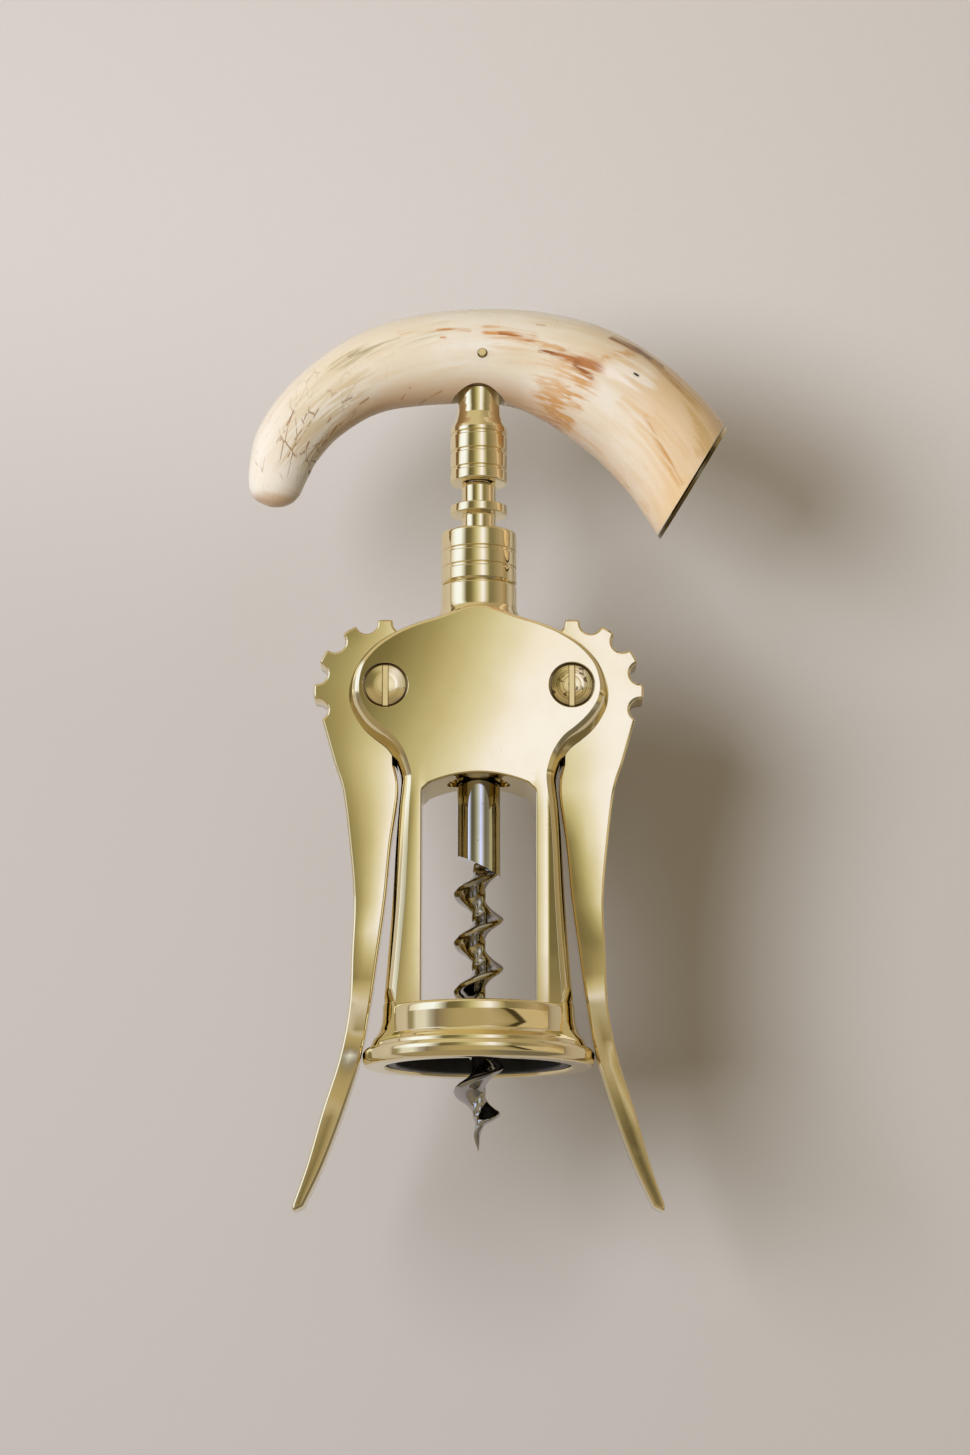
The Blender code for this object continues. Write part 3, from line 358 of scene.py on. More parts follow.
def box_cutter(name, low, high, turn=None):
    ends = list(zip(low, high))
    verts = [Vector((x, y, z)) for x in ends[0] for y in ends[1] for z in ends[2]]
    if turn:
        verts = [turn @ v for v in verts]
    faces = [(0, 1, 3, 2), (4, 6, 7, 5), (0, 4, 5, 1), (2, 3, 7, 6), (0, 2, 6, 4), (1, 5, 7, 3)]
    return piece(name, verts, faces)


def edge_distance(points, loops):
    """The distance in the plane from each point to the nearest edge of the loops."""
    found = np.full(len(points), np.inf)
    for loop in loops:
        starts = np.array([tuple(p) for p in loop])
        runs = np.roll(starts, -1, axis=0) - starts
        for start, run in zip(starts, runs):
            away = points - start
            along = np.clip((away @ run) / (run @ run), 0, 1)
            found = np.minimum(found, np.hypot(*(away - along[:, None] * run).T))
    return found


def inside(points, loop):
    """Which points lie inside a closed loop."""
    starts = np.array([tuple(p) for p in loop])
    ends = np.roll(starts, -1, axis=0)
    found = np.zeros(len(points), bool)
    for (ax, ay), (bx, by) in zip(starts, ends):
        if ay == by:
            continue
        crosses = (points[:, 1] > ay) != (points[:, 1] > by)
        found ^= crosses & (points[:, 0] < ax + (points[:, 1] - ay) / (by - ay) * (bx - ax))
    return found


def within(points, loops):
    """Which points lie inside the first loop and outside the others."""
    keep = inside(points, loops[0])
    for loop in loops[1:]:
        keep &= ~inside(points, loop)
    return keep


def plate_piece(name, outlines, edges, spacing, finish, fine=None, width=None):
    """A plate in the XZ plane, alike in front and behind. The first outline is the outer one, and the others
    are openings. Each (draw, depth) of an outline's edge gives how far the outline draws back and the depth
    there, from the face to the middle. The face is filled with a grid, which carries the polished shading, and
    fine gives a height below which the grid is finer, and its spacing there. Width gives the outer edge's share
    of its full width at a place."""
    def drawn(k, draw):
        if k:
            return inset(outlines[k], -draw)
        ring = inset(outlines[0], draw)
        return [p.lerp(q, width(*p)) for p, q in zip(outlines[0], ring)] if width else ring

    loops = [drawn(k, edge[0][0]) for k, edge in enumerate(edges)]
    rim = [p for loop in loops for p in loop]
    low, high = ([pick(p[i] for p in rim) for i in (0, 1)] for pick in (min, max))
    rows = []
    z = low[1] + spacing / 2
    odd = False
    while z < high[1]:
        gap = fine[1] if fine and z < fine[0] else spacing
        rows += [(x, z, gap) for x in np.arange(low[0] + gap * (0.25 if odd else 0.75), high[0], gap)]
        z += gap * ROW_SHARE
        odd = not odd
    grid = np.array(rows)
    grid = grid[within(grid, loops)]
    grid = grid[edge_distance(grid[:, :2], loops) > grid[:, 2] * RIM_GAP_SHARE]
    lines = []
    for loop in loops:
        first = len(lines)
        lines += [(first + i, first + (i + 1) % len(loop)) for i in range(len(loop))]
    flat = rim + [Vector((x, z)) for x, z, _ in grid]
    flat, _, triangles, _, _, _ = delaunay_2d_cdt(flat, lines, [], 0, 1e-6)
    flat = np.array([tuple(p) for p in flat])
    triangles = np.array(triangles)
    triangles = triangles[within(flat[triangles].mean(axis=1), loops)]
    depth = edges[0][0][1]
    verts, faces = [], []
    for side in (-1, 1):
        base = len(verts)
        verts += [(x, side * depth, z) for x, z in flat]
        faces += [tuple(int(i) + base for i in (t if side < 0 else t[::-1])) for t in triangles]
    begin = 0
    for k, (outline, edge) in enumerate(zip(outlines, edges)):
        size = len(outline)
        strips = []
        for side, start in ((-1, begin), (1, len(flat) + begin)):
            strip = [range(start, start + size)]
            for draw, level in edge[1:]:
                strip.append(range(len(verts), len(verts) + size))
                verts += [(p[0], side * level, p[1]) for p in drawn(k, draw)]
            strips.append(strip)
        begin += size
        chain = strips[0] + strips[1][::-1]
        for one, two in zip(chain, chain[1:]):
            faces += joined(one, two)
    return piece(name, verts, faces, finish)


def polish(thing, depth, tilt):
    """Shades the two flat faces at a depth like hand-polished metal, whose slope tilt(x, z) gives."""
    mesh = thing.data
    places = np.empty(len(mesh.vertices) * 3, np.float32)
    mesh.vertices.foreach_get("co", places)
    places = places.reshape(-1, 3) / MM
    on_face = np.abs(np.abs(places[:, 1]) - depth) < 0.001
    slopes = np.zeros(len(places))
    slopes[on_face] = tilt(places[on_face][:, 0], places[on_face][:, 2])
    normals = np.zeros((len(mesh.loops), 3))
    for face in mesh.polygons:
        if abs(face.normal.y) < 0.999:
            continue
        for loop in face.loop_indices:
            vertex = mesh.loops[loop].vertex_index
            if on_face[vertex]:
                normals[loop] = Vector((slopes[vertex], math.copysign(1.0, face.normal.y), 0.0)).normalized()
    mesh.normals_split_custom_set([tuple(n) for n in normals])
    return thing


# Nodes and finishes

def feed(tree, socket, value):
    """Gives a socket a value, or links another socket to it."""
    if isinstance(value, bpy.types.NodeSocket):
        tree.links.new(value, socket)
    else:
        socket.default_value = value


def node(tree, kind, inputs=None, **settings):
    made = tree.nodes.new(kind)
    for key, value in settings.items():
        setattr(made, key, value)
    for key, value in (inputs or {}).items():
        feed(tree, made.inputs[key], value)
    return made


def group(name, takes, gives):
    """An empty node group, with the (name, kind, value) of each socket it takes and the one that it gives."""
    tree = bpy.data.node_groups.new(name, "ShaderNodeTree")
    for label, kind, value in takes:
        socket = tree.interface.new_socket(label, in_out="INPUT", socket_type="NodeSocket" + kind)
        socket.default_value = value
    tree.interface.new_socket(gives, in_out="OUTPUT", socket_type="NodeSocketFloat")
    return tree, tree.nodes.new("NodeGroupInput").outputs, tree.nodes.new("NodeGroupOutput").inputs[0]


def placed(tree, name, inputs):
    """What a group gives in a material, with its own values."""
    return node(tree, "ShaderNodeGroup", inputs, node_tree=bpy.data.node_groups[name]).outputs[0]


def sums(tree, operation, *values, clamp=False):
    inputs = dict(enumerate(values))
    return node(tree, "ShaderNodeMath", inputs, operation=operation, use_clamp=clamp).outputs[0]


def times(tree, first, second):
    return sums(tree, "MULTIPLY", first, second)


def vectors(tree, operation, *values, output=0):
    return node(tree, "ShaderNodeVectorMath", dict(enumerate(values)), operation=operation).outputs[output]


def blended(tree, share, first, second):
    first, second = ((*v, 1.0) if isinstance(v, tuple) else v for v in (first, second))
    return node(tree, "ShaderNodeMix", {0: share, 6: first, 7: second}, data_type="RGBA").outputs[2]


def ranged(tree, value, low, high, to_low=0.0, to_high=1.0):
    inputs = {"Value": value, "From Min": low, "From Max": high, "To Min": to_low, "To Max": to_high}
    return node(tree, "ShaderNodeMapRange", inputs, interpolation_type="SMOOTHSTEP").outputs[0]


def position(tree):
    return node(tree, "ShaderNodeTexCoord").outputs["Object"]


def noise(tree, scale, detail, place=None):
    inputs = {"Vector": position(tree) if place is None else place, "Scale": scale, "Detail": detail}
    return node(tree, "ShaderNodeTexNoise", inputs).outputs[0]


def parts(tree, vector):
    return node(tree, "ShaderNodeSeparateXYZ", {0: vector}).outputs


def vector_of(tree, x=0.0, y=0.0, z=0.0):
    return node(tree, "ShaderNodeCombineXYZ", {0: x, 1: y, 2: z}).outputs[0]


def mixed(tree, share, first, second, output):
    """Two shaders mixed into a material's or the world's surface."""
    mix = node(tree, "ShaderNodeMixShader", {0: share, 1: first.outputs[0], 2: second.outputs[0]})
    feed(tree, output.inputs["Surface"], mix.outputs[0])


def surface(name):
    """A new material, with its tree and its shader's inputs."""
    made = bpy.data.materials.new(name)
    made.use_nodes = True
    return made, made.node_tree, made.node_tree.nodes["Principled BSDF"].inputs


def raised(tree, inputs, height, distance, strength):
    bump = node(tree, "ShaderNodeBump", {"Height": height, "Distance": distance, "Strength": strength})
    feed(tree, inputs["Normal"], bump.outputs[0])


def make_groups():
    tree, takes, gives = group(
        "growth lines", [("Scale", "Float", 300.0), ("Stretch", "Float", 0.15)], "Fibre"
    )
    x, y, z = parts(tree, vectors(tree, "SUBTRACT", position(tree), TUSK_HEART * MM))
    out = vectors(tree, "LENGTH", vector_of(tree, x=x, z=z), output=1)
    along = times(tree, times(tree, sums(tree, "ARCTAN2", x, z), TUSK_BEND * MM), takes["Stretch"])
    feed(tree, gives, noise(tree, takes["Scale"], 5.0, vector_of(tree, along, y, out)))

    tree, takes, gives = group(
        "streak",
        [("Start", "Vector", (0, 0, 0)), ("End", "Vector", (1, 0, 0)), ("Width", "Float", 0.001),
         ("Ragged", "Float", 0.5), ("Fibre", "Float", 0.5)],
        "Mask",
    )
    away = vectors(tree, "SUBTRACT", vectors(tree, "MULTIPLY", position(tree), (1, 0, 1)), takes["Start"])
    run = vectors(tree, "SUBTRACT", takes["End"], takes["Start"])
    size = vectors(tree, "DOT_PRODUCT", run, run, output=1)
    share = sums(tree, "DIVIDE", vectors(tree, "DOT_PRODUCT", away, run, output=1), size, clamp=True)
    nearest = node(tree, "ShaderNodeVectorMath", {0: run, "Scale": share}, operation="SCALE").outputs[0]
    gap = vectors(tree, "LENGTH", vectors(tree, "SUBTRACT", away, nearest), output=1)
    rough = times(tree, sums(tree, "SUBTRACT", takes["Fibre"], 0.5), takes["Ragged"])
    far = sums(tree, "ADD", sums(tree, "DIVIDE", gap, takes["Width"]), times(tree, rough, 6.0))
    feed(tree, gives, ranged(tree, far, 0.0, 1.3, 1.0, 0.0))


def metal(name, colour, deep, roughness, haze, scratches, specks, across=(1, 1, 1), turning=0.0, shade=None):
    """Polished metal: a body colour with a deeper tone where it has dulled, fine marks and a few specks."""
    made, tree, inputs = surface(name)
    feed(tree, inputs["Metallic"], 1.0)
    place = position(tree)
    dull = ranged(tree, noise(tree, 70.0, 5.0, place), 0.42, 0.70, 0.0, 0.6)
    cells = node(tree, "ShaderNodeTexVoronoi", {"Vector": place, "Scale": 700.0}).outputs["Distance"]
    chosen = ranged(tree, noise(tree, 240.0, 1.0, place), 0.52, 0.62)
    dots = times(tree, ranged(tree, cells, 0.08, 0.16, 1.0, 0.0), chosen)
    tone = blended(tree, dull, colour, deep)
    tone = blended(tree, times(tree, dots, specks), tone, tuple(c * 0.25 for c in deep))
    if shade:
        tone = shade(tree, tone)
    feed(tree, inputs["Base Color"], tone)
    cloud = ranged(tree, noise(tree, 170.0, 3.0, place), 0.40, 0.72)
    feed(tree, inputs["Roughness"], sums(tree, "MULTIPLY_ADD", cloud, haze, roughness))
    marks = noise(tree, 900.0, 4.0, vectors(tree, "MULTIPLY", place, across))
    height = times(tree, marks, scratches)
    if turning:
        rings = noise(tree, 9000.0, 3.0, vector_of(tree, z=parts(tree, place)[2]))
        height = sums(tree, "ADD", height, times(tree, rings, turning))
    raised(tree, inputs, height, 0.00001, 1.0)
    return made


def pivot_radius(tree):
    """The distance in the XZ plane from the nearer pivot's middle, its part across, and the place's own x."""
    x, _, z = parts(tree, position(tree))
    across = sums(tree, "SUBTRACT", sums(tree, "ABSOLUTE", x), PIVOT_X * MM)
    up = sums(tree, "SUBTRACT", z, PIVOT_HEIGHT * MM)
    return vectors(tree, "LENGTH", vector_of(tree, across, up), output=1), across, x


def bore_shade(tree, tone):
    """Painted shade in the counterbores of the pivots, and a darker brass on the window's walls, partly duller
    cast brass and partly painted shade inside the window.
    """
    # partly duller cast brass, partly painted shade: the window's inner walls take a darker brown brass
    wall = 0.85
    place = parts(tree, vectors(tree, "ABSOLUTE", position(tree)))
    for value, low, high in zip(place, (11.4, 9.2, 57.6), (11.6, 9.4, 58.0)):
        wall = times(tree, wall, ranged(tree, value, low * MM, high * MM, 1.0, 0.0))
    tone = blended(tree, wall, tone, (0.50, 0.37, 0.10))
    # painted shade: everything within the counterbore round each screw head turns dark brown
    out = pivot_radius(tree)[0]
    return blended(tree, ranged(tree, out, 4.42 * MM, 4.52 * MM, 0.85, 0.0), tone, (0.13, 0.08, 0.03))


def screw_shade(tree, tone):
    """Painted shade round the rim of each screw head and in its slot, with turning rings and nicks on the right
    one.
    """
    out, across, x = pivot_radius(tree)
    inputs = {"W": out, "Scale": 2600.0, "Detail": 3.0}
    rings = node(tree, "ShaderNodeTexNoise", inputs, noise_dimensions="1D").outputs[0]
    marks = times(tree, ranged(tree, rings, 0.46, 0.60), ranged(tree, x, 0.0, MM, 0.25, 0.75))
    nicks = times(tree, ranged(tree, noise(tree, 900.0, 3.0), 0.60, 0.66), ranged(tree, x, 0.0, MM, 0.0, 0.85))
    beside = sums(tree, "ABSOLUTE", across)
    for mask, colour in (
        (marks, (0.46, 0.30, 0.11)),
        (nicks, (0.10, 0.06, 0.02)),
        # painted shade in the slot: dark brown on its walls and lips, a deeper gold on its floor
        (ranged(tree, beside, 0.62 * MM, 0.74 * MM, 0.8, 0.0), (0.24, 0.15, 0.05)),
        (ranged(tree, beside, 0.42 * MM, 0.50 * MM, 0.95, 0.0), (0.88, 0.72, 0.42)),
        # painted shade: a dark brown ring at the rim of each screw head, where it sits down in the counterbore
        (ranged(tree, out, 3.85 * MM, 4.05 * MM, 0.0, 0.75), (0.20, 0.12, 0.04)),
    ):
        tone = blended(tree, mask, tone, colour)
    return tone


def cap_shade(tree, tone):
    """The cap is bright at its upper end and darker brown below a ragged line near its lower end."""
    ragged_offset = times(tree, sums(tree, "SUBTRACT", noise(tree, 420.0, 3.0), 0.5), 4 * MM)
    level = sums(tree, "ADD", parts(tree, position(tree))[2], ragged_offset)
    return blended(tree, ranged(tree, level, 122 * MM, 125.5 * MM, 0.92, 0.25), tone, (0.10, 0.07, 0.03))


def plain(name, colour, other, roughness, metallic=0.0):
    """A simple grained finish for small hidden pieces."""
    made, tree, inputs = surface(name)
    grain = noise(tree, 500.0, 4.0)
    feed(tree, inputs["Metallic"], metallic)
    feed(tree, inputs["Base Color"], blended(tree, ranged(tree, grain, 0.35, 0.65), colour, other))
    feed(tree, inputs["Roughness"], ranged(tree, grain, 0.3, 0.7, roughness * 0.8, roughness * 1.2))
    raised(tree, inputs, grain, 0.00004, 0.5)
    return made


def spot(across, down):
    """The place on the tusk, in metres and with no depth, that the photograph shows at a pixel."""
    cos, sin = math.cos(VIEW_RISE), math.sin(VIEW_RISE)
    slope = (PHOTO_MIDDLE[1] - down) / PHOTO_FOCUS
    base = VIEW_DISTANCE + TUSK_FRONT * cos
    height = (slope * base + TUSK_FRONT * sin) / (cos - slope * sin)
    x = (across - PHOTO_MIDDLE[0]) / PHOTO_FOCUS * (base + height * sin)
    return (x + VIEW_TARGET.x) * MM, 0.0, (height + VIEW_TARGET.z) * MM


# Stains on the tusk, and one painted highlight: from pixel, to pixel, half width in mm, raggedness, colour,
# strength
TUSK_STREAKS = (
    ((296, 440), (348, 388), 5.0, 0.5, (0.58, 0.47, 0.28), 0.62),
    ((297, 397), (345, 357), 2.2, 0.8, (0.60, 0.50, 0.33), 0.40),
    ((335, 362), (443, 328), 1.4, 0.9, (0.48, 0.41, 0.25), 0.60),
    ((350, 352), (400, 335), 0.5, 0.8, (0.36, 0.29, 0.16), 0.60),
    ((400, 331), (440, 327), 0.8, 1.0, (0.57, 0.38, 0.18), 0.50),
    ((437, 327), (470, 329), 0.55, 0.9, (0.50, 0.22, 0.06), 0.95),
    ((441, 336), (445, 336), 0.5, 0.6, (0.52, 0.26, 0.09), 0.75),
    ((487, 331), (533, 338), 1.5, 0.5, (0.56, 0.28, 0.09), 0.90),
    ((500, 332), (533, 339), 0.6, 0.8, (0.36, 0.13, 0.03), 0.90),
    ((533, 338), (560, 350), 0.9, 1.0, (0.58, 0.35, 0.15), 0.65),
    ((500, 345), (545, 365), 1.6, 1.3, (0.63, 0.45, 0.26), 0.40),
    ((588, 372), (554, 404), 4.2, 0.45, (0.58, 0.34, 0.15), 0.85),
    ((566, 362), (545, 402), 3.4, 0.5, (0.63, 0.43, 0.24), 0.60),
    ((540, 350), (598, 368), 0.5, 0.6, (0.28, 0.10, 0.03), 0.95),
    ((564, 356), (598, 371), 1.5, 0.5, (0.42, 0.18, 0.06), 0.85),
    ((575, 366), (592, 378), 0.9, 0.7, (0.28, 0.10, 0.03), 0.85),
    ((533, 408), (564, 417), 1.7, 0.6, (0.36, 0.14, 0.04), 0.95),
    ((545, 402), (580, 405), 1.6, 1.2, (0.56, 0.30, 0.11), 0.65),
    ((537, 322), (545, 323), 0.35, 0.6, (0.42, 0.24, 0.10), 0.85),
    ((603, 359), (632, 351), 0.8, 1.0, (0.60, 0.37, 0.16), 0.65),
    ((613, 334), (640, 346), 0.8, 0.9, (0.28, 0.14, 0.05), 0.90),
    ((638, 344), (662, 361), 0.7, 0.9, (0.24, 0.13, 0.05), 0.85),
    ((655, 358), (692, 398), 0.7, 0.8, (0.50, 0.31, 0.12), 0.65),
    # painted highlight: a whiter patch round the black dot
    ((612, 372), (640, 381), 2.4, 1.0, (0.86, 0.84, 0.77), 0.65),
    ((623, 400), (645, 418), 1.2, 1.0, (0.67, 0.44, 0.19), 0.60),
    ((645, 418), (682, 484), 0.8, 0.8, (0.52, 0.27, 0.08), 0.80),
    ((652, 425), (688, 480), 2.0, 1.0, (0.67, 0.44, 0.18), 0.55),
    ((560, 422), (640, 502), 1.8, 0.8, (0.63, 0.39, 0.15), 0.60),
    ((690, 393), (704, 450), 1.4, 0.9, (0.62, 0.43, 0.18), 0.65),
    ((519, 397), (536, 406), 0.8, 1.0, (0.60, 0.39, 0.19), 0.55),
    ((635, 375), (637, 376), 0.50, 0.1, (0.03, 0.02, 0.015), 0.95),
)
# Stains with a brightest channel below this one show the growth lines
STREAKED_TONE = 0.65
# Long fine cracks, from pixel to pixel
TUSK_CRACKS = (
    ((373, 380), (342, 398)), ((410, 382), (401, 391)), ((442, 384), (417, 393)), ((397, 397), (378, 405)),
    ((385, 398), (390, 406)), ((358, 420), (346, 426)), ((340, 426), (307, 462)), ((332, 434), (303, 473)),
    ((326, 430), (299, 448)), ((318, 405), (292, 445)), ((306, 410), (287, 452)), ((313, 468), (297, 488)),
    ((336, 418), (312, 447)), ((322, 446), (310, 474)), ((296, 400), (279, 436)), ((330, 412), (322, 424)),
    ((352, 408), (338, 417)), ((300, 455), (318, 449)), ((308, 436), (296, 462)), ((368, 392), (352, 402)),
)


def tusk_finish():
    """Ivory: waxy white with growth lines, honey at the root, cracks, the photograph's stains and one painted
    highlight, and painted shade on the underside.
    """
    made, tree, inputs = surface("tusk_ivory_finish")
    place = position(tree)
    x = parts(tree, place)[0]
    cloud = noise(tree, 60.0, 4.0)
    broad, fine, lines = (
        placed(tree, "growth lines", {"Scale": scale, "Stretch": stretch})
        for scale, stretch in ((110.0, 0.30), (520.0, 0.09), (1500.0, 0.04))
    )
    lines = ranged(tree, lines, 0.42, 0.53, 0.25, 1.3)

    def streak(start, end, width, ragged, fibre):
        return placed(tree, "streak", {
            "Start": spot(*start), "End": spot(*end), "Width": width * MM, "Ragged": ragged, "Fibre": fibre,
        })

    honey = sums(tree, "ADD", x, times(tree, sums(tree, "SUBTRACT", broad, 0.5), 30 * MM))
    tone = blended(tree, ranged(tree, broad, 0.38, 0.66), (0.75, 0.73, 0.64), (0.69, 0.62, 0.47))
    tone = blended(tree, ranged(tree, x, -43 * MM, -30 * MM, 0.5, 0.0), tone, (0.745, 0.735, 0.68))
    tone = blended(tree, ranged(tree, honey, 14 * MM, 50 * MM, 0.0, 0.62), tone, (0.76, 0.50, 0.21))
    tone = blended(tree, ranged(tree, fine, 0.50, 0.72, 0.0, 0.24), tone, (0.62, 0.43, 0.21))
    for start, end, width, ragged, colour, strength in TUSK_STREAKS:
        mask = times(tree, streak(start, end, width, ragged, fine), strength)
        if max(colour) < STREAKED_TONE:
            mask = times(tree, mask, lines)
        tone = blended(tree, mask, tone, colour)
    lean = noise(tree, 420.0, 2.0)
    faint = ranged(tree, lean, 0.44, 0.54, 0.85, 0.0)
    for start, end in TUSK_CRACKS:
        tone = blended(tree, times(tree, streak(start, end, 0.15, 0.3, lean), faint), tone, (0.27, 0.15, 0.07))
    # painted shade: where the tusk faces down, its colour turns darker brown
    under = parts(tree, node(tree, "ShaderNodeNewGeometry").outputs["Normal"])[2]
    tone = blended(tree, ranged(tree, under, -1.0, -0.35, 0.75, 0.0), tone, (0.50, 0.29, 0.12))
    # fine dark cracks near the tip
    wavy = vectors(tree, "MULTIPLY", place, (1.0, 1.0, 0.28))
    cells = node(tree, "ShaderNodeTexVoronoi", {"Vector": wavy, "Scale": 520.0}, feature="DISTANCE_TO_EDGE")
    hair = ranged(tree, cells.outputs["Distance"], 0.0, 0.06, 1.0, 0.0)
    tip = streak((262, 470), (325, 396), 8.0, 0.6, cloud)
    cracks = times(tree, times(tree, hair, tip), ranged(tree, noise(tree, 260.0, 3.0), 0.48, 0.60))
    tone = blended(tree, times(tree, cracks, 0.9), tone, (0.28, 0.16, 0.07))
    for label, value in (
        ("Base Color", tone), ("Roughness", ranged(tree, cloud, 0.3, 0.75, 0.24, 0.38)),
        ("Subsurface Weight", 0.12), ("Subsurface Radius", (1.0, 0.75, 0.5)), ("Subsurface Scale", 2.5 * MM),
        ("Coat Weight", 0.25), ("Coat Roughness", 0.15),
    ):
        feed(tree, inputs[label], value)
    raised(tree, inputs, sums(tree, "SUBTRACT", fine, times(tree, cracks, 2.0)), 0.00006, 0.6)
    return made


# Pieces

def leg_outer(height):
    """How far a leg's outer edge stands from the middle at a height."""
    share = (height - BELL_HEIGHT) / (HEAD_BASE - BELL_HEIGHT)
    flare = np.interp(share, *zip(*LEG_FLARE_SHARES))
    return LEG_TOP_HALF_WIDTH + (LEG_FOOT_HALF_WIDTH - LEG_TOP_HALF_WIDTH) * flare


def frame_outline():
    rise = HEAD_BASE - BELL_HEIGHT
    right = [(leg_outer(BELL_HEIGHT + rise * u), BELL_HEIGHT + rise * u) for u, _ in LEG_FLARE_SHARES]
    lower = PIVOT_HEIGHT - HEAD_BASE
    bulge = HEAD_HALF_WIDTH - LEG_TOP_HALF_WIDTH
    right += [(LEG_TOP_HALF_WIDTH + bulge * w, HEAD_BASE + lower * u) for u, w in CHEEK_LOWER_SHARES]
    right += [(HEAD_HALF_WIDTH * w, PIVOT_HEIGHT + HEAD_CROWN * u) for u, w in CHEEK_UPPER_SHARES]
    right = smooth(right + [(-right[-2][0], right[-2][1])], 8)[:-8]
    return mirrored([Vector((right[0].x, FRAME_FOOT))] + right)


def window_outline():
    """The window between the legs: straight walls, rounded corners and a domed top."""
    base = HEAD_BASE - WINDOW_CORNER
    right = [Vector((WINDOW_HALF_WIDTH, POCKET_ROOF + (base - POCKET_ROOF) * k / 40)) for k in range(40)]
    right += arc((WINDOW_HALF_WIDTH - WINDOW_CORNER, base), WINDOW_CORNER, 0.0, math.radians(62), 6)
    start = (WINDOW_HALF_WIDTH - WINDOW_CORNER * 0.62) / WINDOW_HALF_WIDTH
    for step in range(1, 17):
        w = start * (1 - step / 16)
        right.append(Vector((WINDOW_HALF_WIDTH * w, HEAD_BASE + (WINDOW_TOP - HEAD_BASE) * (1 - w * w))))
    return mirrored(right)


def aimed(x, bearing):
    """The slope across a polished face at x that makes it mirror the studio at a bearing in degrees."""
    return np.tan((np.radians(bearing) - x / VIEW_DISTANCE) / 2)


def frame_tilt(x, z):
    """The frame's face: a crown over the head, and one more on each leg."""
    head = np.clip((z - HEAD_BLEND[0]) / (HEAD_BLEND[1] - HEAD_BLEND[0]), 0, 1)
    head = np.maximum(head * head * (3 - 2 * head), np.clip((11 - np.abs(x)) / 0.4, 0, 1))
    crown = CROWN_ACROSS * x + CROWN_DOWN * (CROWN_LEVEL - z)
    past = crown - CROWN_KNEE
    crown = np.where(past > 0, CROWN_KNEE + CROWN_SOFTNESS * np.tanh(past / CROWN_SOFTNESS), crown)
    outer = leg_outer(z) - RIM_DRAW
    share = (np.abs(x) - (outer + WINDOW_HALF_WIDTH) / 2) / (outer - WINDOW_HALF_WIDTH) * 2
    leg = np.where(x < 0, -5.0 - 13.0 * np.clip(share, -1, 1), np.interp(x, *zip(*RIGHT_LEG_BEARINGS)))
    return aimed(x, crown * head + leg * (1 - head))


def rim_width(x, z):
    """The share of the full bevel on the frame's outer edge at a place: the left leg's is the wider."""
    return np.interp(z, *zip(*(LEFT_RIM_SHARES if x < 0 else RIGHT_RIM_SHARES)))


def at_pivot(side):
    """Where a piece that is turned about Z goes to lie along a pivot, its top towards the front."""
    return Matrix.Translation((side * PIVOT_X, 0, PIVOT_HEIGHT)) @ Matrix.Rotation(math.pi / 2, 4, "X")


def make_frame(brass):
    edge = eased([
        (3.1, FRAME_HALF_DEPTH), (RIM_DRAW, FRAME_HALF_DEPTH, 0.25), (1.8, FRAME_HALF_DEPTH - 0.42, 0.3),
        (1.15, 8.1, 0.6), (0.7, 6.45, 2.0), (0.3, SLOT_HALF_DEPTH, 1.0), (0.3, 0.5),
    ], 0.3)
    hole = eased([(0.75, FRAME_HALF_DEPTH), (0.05, FRAME_HALF_DEPTH, 0.7), (0.0, 8.2), (0.0, 0.5)], 0.7)
    loops = [frame_outline(), window_outline()]
    plate = plate_piece("frame_plate", loops, [edge, hole], 0.85, brass, (54, 0.4), rim_width)
    rim = BELL_HEIGHT + 8.0
    trim = [(0.0, HEAD_TOP + 3), (40, HEAD_TOP + 3), (40, rim + 4)]
    trim += eased([
        (BELL_RADIUS + 4.0, rim + 4), (BELL_RADIUS + 2.0, rim - 1), (BELL_RADIUS + 0.6, rim - 5),
        (BELL_RADIUS, BELL_HEIGHT), (BELL_RADIUS - 0.15, 10.6),
    ], 8, 6)
    trim += [(BELL_RADIUS - 0.15, 10.4), (0.0, 10.4)]
    cut(plate, turned("trim", trim, 192), "INTERSECT")
    cut(plate, box_cutter("slot", (-30, -SLOT_HALF_DEPTH, SLOT_FLOOR), (30, SLOT_HALF_DEPTH, HEAD_TOP + 2)))
    cut(plate, bar("floor_hole", 6.2, (0, 0, HEAD_BASE - 1), (0, 0, SLOT_FLOOR + 1), 96))
    bore = [(0.0, 11), (4.6, 11), (4.6, 9.45), (4.4, 9.25), (4.4, 7.7), (2.5, 7.7), (2.5, -11), (0.0, -11)]
    for side in (-1, 1):
        cut(plate, turned("pivot_bore", bore, 96, place=at_pivot(side)))
    return polish(plate, FRAME_HALF_DEPTH, frame_tilt)


def make_tail_flange(brass):
    """The flange at the rack's tail that the shank runs through, seen just above the window."""
    outline = [(4.6, 60.9), (4.6, 57.3), (6.1, 57.0), (6.1, 58.4), (5.2, 58.6), (5.2, 60.9), (4.6, 60.9)]
    return turned("tail_flange", outline, 96, brass)


